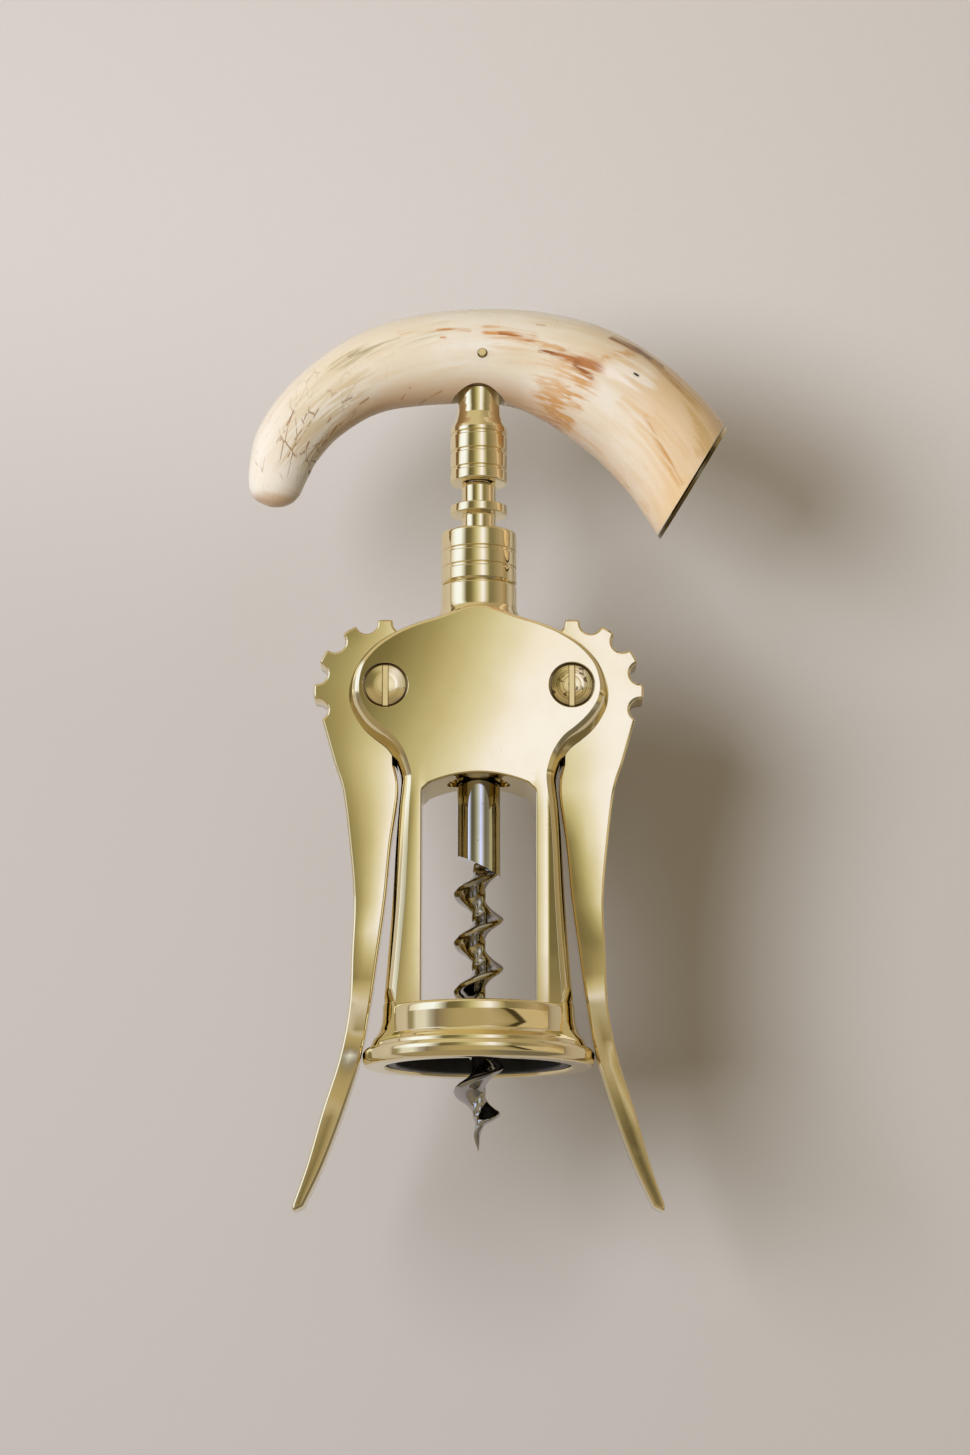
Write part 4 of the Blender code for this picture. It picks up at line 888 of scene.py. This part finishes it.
def make_bell(brass):
    outline = [
        (WORM_HOLE_RADIUS, POCKET_ROOF), (WORM_HOLE_RADIUS, BELL_HEIGHT, 0.2), (BELL_RADIUS, BELL_HEIGHT, 1.1),
        (18.494, 9.3), (18.476, 8.2), (18.446, 7.1), (18.403, 6.0, 0.3), (18.95, 5.3, 1.2), (20.3, 4.65, 1.2),
        (20.95, 4.25, 0.35), (20.95, 3.45, 0.2), (22.1, 3.4, 0.5), (FOOT_RING_RADIUS, 2.6, 1.0),
        (FOOT_RING_RADIUS, 0.9, 1.2), (22.0, 0.0, 1.2), (MOUTH_RADIUS + 0.3, 0.0, 0.3),
        (MOUTH_RADIUS, 0.5, 0.1), (MOUTH_RADIUS, 2.0), (POCKET_RADIUS, 2.0), (POCKET_RADIUS, POCKET_ROOF),
        (WORM_HOLE_RADIUS, POCKET_ROOF),
    ]
    return turned("bell_foot", eased(outline, 0.12, 6)[1:], 256, brass)


def make_leg_feet(brass):
    """The legs' feet, which run down outside the bell and flare out to its ring."""
    outline = [
        (18.2, 12.0), (18.75, 12.0), (18.85, 10.0, 8), (19.05, 8.3, 4), (19.6, 6.6, 3), (20.7, 5.0, 3),
        (21.2, 3.5), (18.2, 3.5),
    ]
    ring = turned("leg_feet", eased(outline, 0.1, 6), 192, brass)
    return cut(ring, box_cutter("span", (-30, -8.8, 0.0), (30, 8.8, 20)), "INTERSECT")


def make_neck(brass):
    outline = [
        (BORE_RADIUS, NECK_SEAM), (NECK_RADIUS - GROOVE_DEPTH, NECK_SEAM), (NECK_RADIUS, NECK_SEAM - 0.4, 0.1),
        (NECK_RADIUS, 91.2, 4.0), (8.3, 89.6, 2.0), (8.7, 88.6), (7.4, 87.5), (7.4, NECK_ROOT),
        (BORE_RADIUS, NECK_ROOT),
    ]
    return turned("frame_neck", eased(outline, 0.1), 128, brass)


def grooved(radius, heights, width, depth):
    """Turned points down a cylinder with a square groove at each height, whose lips are rounded."""
    points = []
    for middle in heights:
        points += [
            (radius, middle + width / 2, GROOVE_LIP), (radius - depth, middle + width * 0.32, 0.08),
            (radius - depth, middle - width * 0.32, 0.08), (radius, middle - width / 2, GROOVE_LIP),
        ]
    return points


def make_collar(brass):
    base = NECK_SEAM + 0.3
    tail = base - 6.5
    outline = [(BORE_RADIUS, COLLAR_TOP - 2), (BORE_RADIUS, COLLAR_TOP, 0.25), (NECK_RADIUS, COLLAR_TOP, 2.6)]
    outline += grooved(NECK_RADIUS, [NECK_SEAM + GROOVE_PITCH * k for k in (2, 1)], GROOVE_WIDTH, GROOVE_DEPTH)
    outline += [
        (NECK_RADIUS, base + GROOVE_WIDTH / 2, GROOVE_LIP), (NECK_RADIUS - GROOVE_DEPTH, base, 0.05),
        (SPIGOT_RADIUS, base), (SPIGOT_RADIUS, tail), (BORE_RADIUS, tail),
    ]
    return turned("collar_sleeve", eased(outline, 0.1, 7), 160, brass)


def make_screw(name, side, brass):
    outline = [
        (0.0, SCREW_TOP + 0.34), (2.2, SCREW_TOP + 0.25, 6), (4.02, SCREW_TOP - 0.15, 0.3),
        (4.1, SCREW_TOP - 0.3), (4.1, 8.0), (2.2, 8.0), (2.2, -9.1), (2.0, -9.3), (0.0, -9.3),
    ]
    screw = turned(name, eased(outline, 0.15), 96, brass, at_pivot(side))
    x = side * PIVOT_X
    low = (x - SCREW_SLOT_HALF_WIDTH, -11, PIVOT_HEIGHT - 5)
    high = (x + SCREW_SLOT_HALF_WIDTH, -SCREW_TOP + 0.65, PIVOT_HEIGHT + 5)
    return cut(screw, box_cutter(name + "_slot", low, high))


def gear_points():
    pitch = 2 * math.pi / GEAR_TEETH
    half_tip = TOOTH_TIP_WIDTH / GEAR_TIP_RADIUS / 2
    reach = math.sqrt(GEAR_TIP_RADIUS**2 - NOTCH_RADIUS**2)
    points = []
    for tooth in range(-1, 7):
        middle = GEAR_PHASE + tooth * pitch
        gap = middle + pitch / 2
        centre = (reach * math.cos(gap), reach * math.sin(gap))
        points += arc((0.0, 0.0), GEAR_TIP_RADIUS, middle - half_tip, middle + half_tip, 8)
        points += arc(centre, NOTCH_RADIUS, gap - math.pi / 2, gap - math.pi * 3 / 2, 16)[1:-1]
    return points


def arm_points():
    """The arm of the left lever about its pivot: outer edge down to the tip, then the inner edge up."""
    throat = np.interp((SLOT_FLOOR - HEAD_BASE) / (PIVOT_HEIGHT - HEAD_BASE), *zip(*CHEEK_LOWER_SHARES))
    cheek = LEG_TOP_HALF_WIDTH + (HEAD_HALF_WIDTH - LEG_TOP_HALF_WIDTH) * throat
    waist = (BELL_HEIGHT + HEAD_BASE) / 2
    rim = FOOT_RING_HEIGHT / 2
    reach = FOOT_RING_RADIUS + 0.3
    drop = rim + 28.1
    spread = 10.8
    heights = (HEAD_BASE, (HEAD_BASE + waist) / 2, waist, (waist + BELL_HEIGHT) / 2, BELL_HEIGHT)
    gaps = (0.35, 0.8, 1.2, 1.8, 2.4)
    widths = (10.8, 8.068, 6.2, 5.15, 4.1)
    stations = [(cheek + 0.25, SLOT_FLOOR, 11.7)]
    stations += [(leg_outer(z) + gap, z, width) for z, gap, width in zip(heights, gaps, widths)]
    stations += [
        (reach, rim, 4.1), (reach + spread * 0.30, rim - drop * 0.35, 4.1),
        (reach + spread * 0.66, rim - drop * 0.70, 3.15), (reach + spread, rim - drop + TIP_SLANT, 2.2),
    ]
    down = smooth([(PIVOT_X - x - width, z - PIVOT_HEIGHT) for x, z, width in stations], 10)
    up = smooth([(PIVOT_X - x, z - PIVOT_HEIGHT) for x, z, width in stations], 10)
    down[-1].y -= TIP_SLANT
    return down, up[::-1]


# How each blade's hand-polished face is crowned: a height, then the bearings in degrees that its left edge, its
# middle and its right edge mirror
LEFT_BLADE = (
    (-27, (40, 46, 20)), (-10, (24, 34, 12)), (2, (-42, -68, -52)), (7, (0, 27, 26)), (12, (24, 12, 12)),
    (17, (-27, -17, -14)), (26, (-22, 4, 13)), (32, (-22, -4, 14)), (44, (-21, -6, 14)), (54, (-18, -3, 11)),
)
RIGHT_BLADE = (
    (-27, (40, 48, 44)), (-12, (36, 42, 18)), (0, (24, 20, -66)), (5, (18, 28, 26)), (12, (25, 23, 22)),
    (18, (-36, -19, -12)), (24, (-35, -26, -16)), (32, (-30, -12, 9)), (44, (-26, 0, 12)), (54, (-3, 6, 15)),
)


def across_blade(outline, table):
    """A tilt that runs across a blade from one edge to the other, as a table of heights tells."""
    places = np.array([tuple(p) for p in outline])
    heights = np.linspace(places[:, 1].min() + 0.3, places[:, 1].max() - 0.3, 120)
    left, right = [], []
    after = np.roll(places, -1, axis=0)
    for height in heights:
        crosses = (places[:, 1] > height) != (after[:, 1] > height)
        one, two = places[crosses], after[crosses]
        x = one[:, 0] + (height - one[:, 1]) / (two[:, 1] - one[:, 1]) * (two[:, 0] - one[:, 0])
        left.append(x.min())
        right.append(x.max())
    reach = 6
    weights = np.exp(-np.arange(-reach, reach + 1) ** 2 / (reach * 3))
    weights /= weights.sum()
    left, right = (np.convolve(np.pad(way, reach, mode="edge"), weights, mode="valid") for way in (left, right))

    def at(x, z):
        low, high = np.interp(z, heights, left), np.interp(z, heights, right)
        share = np.clip((x - (low + high) / 2) / (high - low) * 2, -1, 1)
        rows = np.array([np.interp(share, (-1, 0, 1), bearings) for _, bearings in table])
        step = np.interp(z, [level for level, _ in table], range(len(table)))
        under = np.minimum(step.astype(int), len(table) - 2)
        each = np.arange(len(x))
        return aimed(x, rows[under, each] + (step - under) * (rows[under + 1, each] - rows[under, each]))

    return at


def make_lever(name, side, brass):
    down, up = arm_points()
    outline = gear_points() + down + up + arc((0.0, 0.0), GEAR_ROOT_RADIUS, HEEL_START, HEEL_END, 12)
    outline = [Vector((side * PIVOT_X - side * p.x, p.y + PIVOT_HEIGHT)) for p in softened(outline, 0.5)]
    edge = [(0.46, LEVER_HALF_DEPTH), (0.43, 4.285), (0.08, 4.04), (0.0, 3.9), (0.0, 0.4)]
    lever = plate_piece(name, [outline], [edge], 0.75, brass, fine=(36, 0.25))
    return polish(lever, LEVER_HALF_DEPTH, across_blade(outline, LEFT_BLADE if side < 0 else RIGHT_BLADE))


def make_rack(brass):
    head = FERRULE_BASE - RUNNING_GAP
    bore = STEM_RADIUS + RUNNING_GAP
    outline = [(bore, head - 5), (bore, head), (RACK_CORE_RADIUS, head, 0.1)]
    for index in range(RACK_RINGS):
        upper = TOP_RING - index * RACK_PITCH + RING_THICKNESS / 2
        lower = upper - RING_THICKNESS
        outline += [
            (RACK_CORE_RADIUS, upper, 0.2), (RING_RADIUS, upper, 0.28),
            (RING_RADIUS, lower, 0.28), (RACK_CORE_RADIUS, lower, 0.2),
        ]
    outline += [(RACK_CORE_RADIUS, RACK_TAIL), (bore, RACK_TAIL)]
    return turned("rack_rings", eased(outline, 0.1), 128, brass)


def make_worm(chrome, shaded_blade_chrome):
    outline = [
        (0.0, FERRULE_BASE + 9.7), (STEM_RADIUS, FERRULE_BASE + 9.7), (STEM_RADIUS, RACK_TAIL - RUNNING_GAP),
        (SHANK_RADIUS, RACK_TAIL - RUNNING_GAP, 0.3), (SHANK_RADIUS, 30), (0.0, 30),
    ]
    shank = turned("worm_shank", eased(outline, 0.1), 128, chrome)
    slant = Matrix.Translation((0.0, 0.0, SHANK_END)) @ Matrix.Rotation(SHANK_SLANT, 4, "Y")
    cut(shank, box_cutter("slant", (-17, -17, -17), (17, 17, 0.0), turn=slant))
    top = SHANK_END + 4.0
    run = top + WORM_POINT_DROP
    levels = round(run / WORM_PITCH * RINGS_PER_TURN)
    start = (SHANK_RADIUS - 0.45) / WORM_RADIUS
    depth = WORM_RADIUS - WORM_CORE_RADIUS
    half = smooth([(share, WORM_CORE_RADIUS + depth * out) for share, out in BLADE_SHARES], 5)
    half = [(p.x * 2 * math.pi, p.y) for p in half]
    section = half + [(-angle, radius) for angle, radius in reversed(half[1:-1])]
    rings = []
    for level in range(levels + 1):
        height = top - run * level / levels
        turn = 2 * math.pi * (height / WORM_PITCH - WORM_TURN)
        taper = np.interp(run * (1 - level / levels), *zip(*POINT_SHARES))
        below = max(0.0, SHANK_END - height) / WORM_PITCH
        reach = max(taper * min(1.0, start + below / 2), 0.03)
        rings.append([
            (radius * reach * math.cos(turn + angle), radius * reach * math.sin(turn + angle), height)
            for angle, radius in section
        ])
    return shank, tube("worm_blade", rings, shaded_blade_chrome)


def make_ferrule(brass):
    outline = [
        (0.0, FERRULE_SEAT + 12.5), (2.6, FERRULE_SEAT + 12.5), (2.6, FERRULE_SEAT - 0.3),
        (4.35, FERRULE_SEAT - 0.3), (4.2, 134.6, 3), (4.2, 133.0, 3), (4.4, 131.4, 2), (4.9, 129.9, 1.5),
        (5.55, 128.7, 1.0), (RING_RADIUS, 128.1, 0.5),
    ]
    outline += grooved(RING_RADIUS, [127.0, 123.4, 119.8], 0.76, 0.3)
    outline += [
        (RING_RADIUS, FERRULE_BASE, 0.5), (2.65, FERRULE_BASE), (2.65, FERRULE_BASE + 10),
        (0.0, FERRULE_BASE + 10),
    ]
    return turned("ferrule_body", eased(outline, 0.1, 6), 160, brass)


def tusk_skin(name, finish, steps=112):
    """The oval skin along the tusk's centre line, closed at both ends."""
    rows = smooth([
        (TUSK_SPAN * x, FERRULE_SEAT + TUSK_RISE * z, TUSK_GIRTH * width) for x, z, width in TUSK_SPINE_SHARES
    ], 8)
    angles = [2 * math.pi * step / steps for step in range(steps)]
    rings = []
    for before, row, after in zip(rows[:1] + rows, rows, rows[1:] + rows[-1:]):
        along = Vector((after.x - before.x, 0.0, after.y - before.y)).normalized()
        out = Vector((-along.z, 0.0, along.x)) * row.z * TUSK_BREADTH
        deep = Vector((0, row.z * TUSK_FLATNESS, 0))
        rings.append([Vector((row.x, 0.0, row.y)) + out * math.cos(a) + deep * math.sin(a) for a in angles])
    return tube(name, rings, finish)


def sliced(thing, distance, keep_root):
    """The skin cut square at a distance past the tusk's cut, with the new end filled."""
    normal = (Matrix.Rotation(CUT_LEAN, 3, "Y") @ Vector((1, CUT_TURN, 0))).normalized()
    plane = CUT_POINT + normal * (distance - CUT_TURN * CUT_HALF_DEPTH)
    shape = bmesh.new()
    shape.from_mesh(thing.data)
    done = bmesh.ops.bisect_plane(
        shape, geom=shape.verts[:] + shape.edges[:] + shape.faces[:], dist=1e-7,
        plane_co=plane * MM, plane_no=normal, clear_outer=keep_root, clear_inner=not keep_root,
    )
    bmesh.ops.contextual_create(shape, geom=[e for e in done["geom_cut"] if isinstance(e, bmesh.types.BMEdge)])
    bmesh.ops.recalc_face_normals(shape, faces=shape.faces)
    shape.to_mesh(thing.data)
    shape.free()
    return shaded(thing)


def make_tusk(ivory, brass, pin_brass):
    tusk = sliced(tusk_skin("tusk_skin", ivory), 0.0, True)
    cut(tusk, bar("spot_face", 5.5, (0, 0, FERRULE_SEAT - 12), (0, 0, FERRULE_SEAT), 96))
    cut(tusk, bar("tang_hole", 2.9, (0, 0, FERRULE_SEAT - 12), (0, 0, FERRULE_SEAT + 12.8)))
    cut(tusk, bar("pin_hole", 0.98, (PIN_X, -20, PIN_HEIGHT), (PIN_X, 20, PIN_HEIGHT), 32))
    cap = sliced(tusk_skin("cap_plate", brass), CAP_GAP + CAP_THICKNESS, True)
    sliced(cap, CAP_GAP, False)
    rod = [
        (0.0, -PIN_REACH), (0.7, -PIN_REACH), (0.83, -PIN_REACH + 0.12), (0.83, PIN_REACH - 0.12),
        (0.7, PIN_REACH), (0.0, PIN_REACH),
    ]
    place = Matrix.Translation((PIN_X, 0, PIN_HEIGHT)) @ Matrix.Rotation(math.pi / 2, 4, "X")
    return tusk, cap, turned("pin_rod", rod, 48, pin_brass, place)


def make_liner(black):
    outline = [
        (5.75, 9.0), (17.1, 9.0), (17.1, 1.7), (17.85, 1.7), (17.85, 0.5, 0.3), (16.05, 0.5, 0.5),
        (16.05, 7.6, 0.5), (5.75, 7.6),
    ]
    return turned("liner_cup", eased(outline, 0.1), 192, black)


# Light and view

def make_camera():
    data = bpy.data.cameras.new("photo_camera")
    data.lens = 91.45
    data.sensor_width = 36.0
    data.clip_start = 0.01
    camera = bpy.data.objects.new("photo_camera", data)
    away = Vector((0, math.cos(VIEW_RISE), math.sin(VIEW_RISE))) * VIEW_DISTANCE
    camera.location = (VIEW_TARGET - away) * MM
    camera.rotation_euler = (math.pi / 2 + VIEW_RISE, 0, 0)
    bpy.context.scene.collection.objects.link(camera)
    bpy.context.scene.camera = camera


def make_backdrop():
    """A pale wall behind the corkscrew that can be seen through from behind, its colour painted lighter to the
    right and higher up as painted light.
    """
    made, tree, inputs = surface("backdrop_paper")
    feed(tree, inputs["Roughness"], 0.9)
    feed(tree, inputs["Specular IOR Level"], 0.1)
    place = position(tree)
    x, _, z = parts(tree, place)
    lit = blended(tree, noise(tree, 900.0, 2.0, place), (0.637, 0.625, 0.597), (0.657, 0.645, 0.617))
    # painted light: the wall's colour runs lighter to the right and higher up
    slope = sums(tree, "ADD", times(tree, x, 0.235), ranged(tree, z, 0.07, 0.20, 0.0, 0.07))
    tone = blended(tree, ranged(tree, slope, -0.05, 0.10), (0.483, 0.470, 0.443), lit)
    feed(tree, inputs["Base Color"], tone)
    behind = node(tree, "ShaderNodeNewGeometry").outputs["Backfacing"]
    clear = node(tree, "ShaderNodeBsdfTransparent")
    mixed(tree, behind, tree.nodes["Principled BSDF"], clear, tree.nodes["Material Output"])
    mesh = bpy.data.meshes.new("backdrop")
    ends = ((-1, -1), (1, -1), (1, 1), (-1, 1))
    verts = [(x * BACKDROP_REACH, BACKDROP_DEPTH * MM, z * BACKDROP_REACH) for x, z in ends]
    mesh.from_pydata(verts, [], [(0, 1, 2, 3)])
    mesh.materials.append(made)
    wall = bpy.data.objects.new("backdrop", mesh)
    bpy.context.scene.collection.objects.link(wall)


# Studio round the object: bearing from the front in degrees, positive to the right, then the light's colour
STUDIO = (
    (-180, (0.65, 0.61, 0.48)), (-135, (0.75, 0.67, 0.58)), (-106, (0.86, 0.78, 0.76)),
    (-99, (0.48, 0.43, 0.34)), (-92, (0.78, 0.74, 0.75)), (-80, (1.0, 1.07, 1.32)), (-74, (1.07, 1.23, 1.68)),
    (-57, (1.08, 1.22, 1.68)), (-51, (0.90, 0.97, 1.12)), (-38, (0.17, 0.145, 0.075)),
    (-30, (0.18, 0.155, 0.078)), (-23, (0.23, 0.20, 0.10)), (-18, (0.34, 0.31, 0.17)),
    (-14, (0.42, 0.39, 0.22)), (-9, (0.57, 0.54, 0.35)), (-5, (0.66, 0.63, 0.45)), (0, (0.80, 0.79, 0.69)),
    (5, (0.91, 0.92, 0.96)), (9, (1.03, 1.06, 1.33)), (14, (1.09, 1.14, 1.52)), (18, (0.90, 0.91, 1.12)),
    (28, (0.50, 0.47, 0.31)), (34, (0.25, 0.22, 0.13)), (43, (0.25, 0.22, 0.13)), (52, (0.32, 0.27, 0.17)),
    (74, (0.48, 0.39, 0.27)), (90, (0.36, 0.27, 0.15)), (106, (0.22, 0.16, 0.08)), (123, (0.23, 0.17, 0.10)),
    (134, (0.28, 0.24, 0.17)), (150, (0.48, 0.45, 0.42)), (180, (0.65, 0.61, 0.52)),
)
# The same low down, near the table
LOW_STUDIO = (
    (-180, (0.40, 0.33, 0.22)), (-134, (0.60, 0.52, 0.42)), (-123, (0.80, 0.72, 0.61)),
    (-97, (0.81, 0.73, 0.66)), (-92, (0.30, 0.24, 0.15)), (-87, (0.36, 0.35, 0.24)),
    (-81, (0.78, 0.80, 0.86)), (-68, (0.80, 0.83, 0.92)), (-60, (0.45, 0.44, 0.45)),
    (-52, (0.25, 0.21, 0.17)), (-37, (0.38, 0.32, 0.20)), (-26, (0.46, 0.38, 0.23)), (0, (0.48, 0.40, 0.24)),
    (14, (0.51, 0.44, 0.30)), (28, (0.44, 0.37, 0.24)), (40, (0.33, 0.28, 0.16)), (42.5, (0.06, 0.045, 0.02)),
    (52, (0.06, 0.045, 0.02)), (54.5, (0.60, 0.51, 0.36)), (92, (0.65, 0.53, 0.37)),
    (100, (0.52, 0.42, 0.27)), (123, (0.42, 0.35, 0.20)), (134, (0.60, 0.45, 0.22)),
    (180, (0.34, 0.26, 0.15)),
)


def studio_ramp(tree, bands, share):
    """A ring of light colours by bearing, where share runs from 0 to 1 round the object."""
    ramp = node(tree, "ShaderNodeValToRGB", {0: share})
    elements = ramp.color_ramp.elements
    elements.remove(elements[-1])
    for index, (bearing, colour) in enumerate(bands):
        at = bearing / 360 + 0.5
        stop = elements[0] if index == 0 else elements.new(at)
        stop.position = at
        stop.color = (*[c / BRIGHTEST for c in colour], 1.0)
    return ramp.outputs[0]


def make_light():
    world = bpy.data.worlds.new("studio")
    world.use_nodes = True
    tree = world.node_tree
    bpy.context.scene.world = world
    tree.nodes.clear()
    x, y, height = parts(tree, node(tree, "ShaderNodeTexCoord").outputs["Generated"])
    turn = sums(tree, "ARCTAN2", x, times(tree, y, -1.0))
    share = sums(tree, "MULTIPLY_ADD", turn, 1 / (2 * math.pi), 0.5)
    high = studio_ramp(tree, STUDIO, share)
    slant = times(tree, sums(tree, "SUBTRACT", height, 0.076), 1.08)
    slant = times(tree, slant, sums(tree, "MULTIPLY", turn, 2.0, clamp=True))
    low = studio_ramp(tree, LOW_STUDIO, sums(tree, "ADD", share, slant))
    right = ranged(tree, x, -0.1, 0.5)
    above = blended(tree, right, (0.36, 0.32, 0.22), (0.24, 0.20, 0.13))
    below = blended(tree, right, (0.20, 0.165, 0.105), (0.10, 0.09, 0.07))
    around = blended(tree, ranged(tree, height, 0.1215, 0.126), low, high)
    around = blended(tree, ranged(tree, height, 0.50, 0.70), around, above)
    around = blended(tree, ranged(tree, height, -0.30, -0.06, 1.0, 0.0), around, below)
    paths = node(tree, "ShaderNodeLightPath").outputs
    soft = vectors(tree, "MULTIPLY", around, (0.79, 0.71, 0.60))
    around = blended(tree, paths["Is Glossy Ray"], soft, around)
    lit = node(tree, "ShaderNodeBackground", {"Color": around, "Strength": BRIGHTEST})
    seen = node(tree, "ShaderNodeBackground", {"Color": (0.64, 0.60, 0.56, 1.0), "Strength": 1.0})
    mixed(tree, paths["Is Camera Ray"], lit, seen, node(tree, "ShaderNodeOutputWorld"))

    lamp = bpy.data.lights.new("key_softbox", "AREA")
    lamp.shape = "DISK"
    lamp.size = 0.46
    lamp.energy = 6.8
    lamp.color = (0.94, 0.93, 1.0)
    key = bpy.data.objects.new("key_softbox", lamp)
    bearing, rise, away = math.radians(-33), math.radians(2.5), 0.8
    toward = Vector((math.sin(bearing) * math.cos(rise), -math.cos(bearing) * math.cos(rise), math.sin(rise)))
    key.location = VIEW_TARGET * MM + toward * away
    key.rotation_euler = toward.to_track_quat("Z", "Y").to_euler()
    key.visible_glossy = False
    bpy.context.scene.collection.objects.link(key)
    bpy.context.scene.view_settings.view_transform = "Standard"


def dress(thing, body, slot, *nodes):
    """The piece stands for its CAD nodes and moves with their body; the slot it is given is not used."""
    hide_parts(*nodes)
    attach(thing, body)


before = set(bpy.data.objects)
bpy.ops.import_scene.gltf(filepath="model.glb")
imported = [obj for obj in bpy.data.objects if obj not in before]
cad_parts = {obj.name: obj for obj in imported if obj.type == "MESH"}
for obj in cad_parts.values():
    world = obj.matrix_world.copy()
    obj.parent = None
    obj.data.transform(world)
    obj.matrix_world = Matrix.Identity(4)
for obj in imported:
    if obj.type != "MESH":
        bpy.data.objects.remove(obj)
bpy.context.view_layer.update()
make_groups()
make_camera()
make_backdrop()
make_light()

BRASS = ((0.88, 0.77, 0.49), (0.84, 0.70, 0.40))
# Each metal's colour and deeper tone, then its roughness, haze, scratches and specks
plate_brass = metal("frame_brass", *BRASS, 0.07, 0.04, 0.02, 0.1, across=(1, 1, 0.15), shade=bore_shade)
lever_brass = metal("lever_brass", *BRASS, 0.08, 0.04, 0.02, 0.1, across=(1, 1, 0.12))
turned_brass = metal("turned_brass", *BRASS, 0.035, 0.03, 0.015, 0.1, turning=0.04)
screw_brass = metal(
    "screw_brass", (0.95, 0.83, 0.54), (0.86, 0.70, 0.39), 0.11, 0.08, 0.35, 0.5, shade=screw_shade
)
pin_brass = metal("pin_brass", (0.80, 0.64, 0.34), (0.60, 0.44, 0.2), 0.2, 0.08, 0.35, 0.3)
cap_brass = metal("cap_brass", (0.78, 0.62, 0.32), (0.42, 0.28, 0.12), 0.16, 0.1, 0.3, 0.3, shade=cap_shade)
worm_chrome = metal(
    "worm_chrome", (0.66, 0.66, 0.68), (0.52, 0.51, 0.52), 0.06, 0.06, 0.15, 0.4, across=(0.2, 0.2, 1)
)
# painted shade: the worm's blade takes a darker copy of the chrome on its shank
shaded_blade_chrome = metal(
    "shaded_blade_chrome", (0.50, 0.49, 0.49), (0.38, 0.37, 0.37), 0.05, 0.05, 0.3, 0.4, across=(1, 1, 0.2)
)
black = plain("liner_black", (0.012, 0.012, 0.013), (0.02, 0.02, 0.02), 0.42)

dress(make_frame(plate_brass), "frame_body", "brass_frame", "frame")
dress(make_bell(turned_brass), "frame_body", "brass_frame", "frame")
dress(make_leg_feet(turned_brass), "frame_body", "brass_frame", "frame")
dress(make_neck(turned_brass), "frame_body", "brass_frame", "frame")
dress(make_collar(turned_brass), "frame_body", "brass_turned", "neck_collar")
dress(make_liner(black), "frame_body", "black_liner", "bell_liner")
for side, label in ((-1, "left"), (1, "right")):
    screw = make_screw("screw_" + label, side, screw_brass)
    dress(screw, "frame_body", "brass_screws", "pivot_screw_" + label)
    lever = make_lever("wing_" + label, side, lever_brass)
    dress(lever, label + "_lever_body", "brass_levers", "lever_" + label)
dress(make_rack(turned_brass), "rack_body", "brass_turned", "rack_spindle")
dress(make_tail_flange(turned_brass), "rack_body", "brass_turned", "rack_spindle")
for worm_piece in make_worm(worm_chrome, shaded_blade_chrome):
    dress(worm_piece, "handle_body", "worm_chrome", "worm")
dress(make_ferrule(turned_brass), "handle_body", "brass_turned", "handle_ferrule")
tusk, cap, pin = make_tusk(tusk_finish(), cap_brass, pin_brass)
dress(tusk, "handle_body", "tusk_ivory", "tusk_grip")
dress(cap, "handle_body", "brass_cap", "tusk_end_cap")
dress(pin, "handle_body", "brass_screws", "tusk_pin")

dark_steel = plain("set_screw_steel", (0.05, 0.045, 0.04), (0.12, 0.10, 0.08), 0.4, 1.0)
sleeve_steel = plain("sleeve_steel", (0.5, 0.5, 0.52), (0.6, 0.6, 0.62), 0.2, 1.0)
resin = plain("plug_resin", (0.30, 0.22, 0.14), (0.22, 0.15, 0.09), 0.6)
for node_name, finish in (
    ("collar_screw_left", dark_steel), ("collar_screw_right", dark_steel), ("pivot_sleeve_left", sleeve_steel),
    ("pivot_sleeve_right", sleeve_steel), ("root_plug", resin),
):
    for material_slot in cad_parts[node_name].material_slots:
        material_slot.material = finish
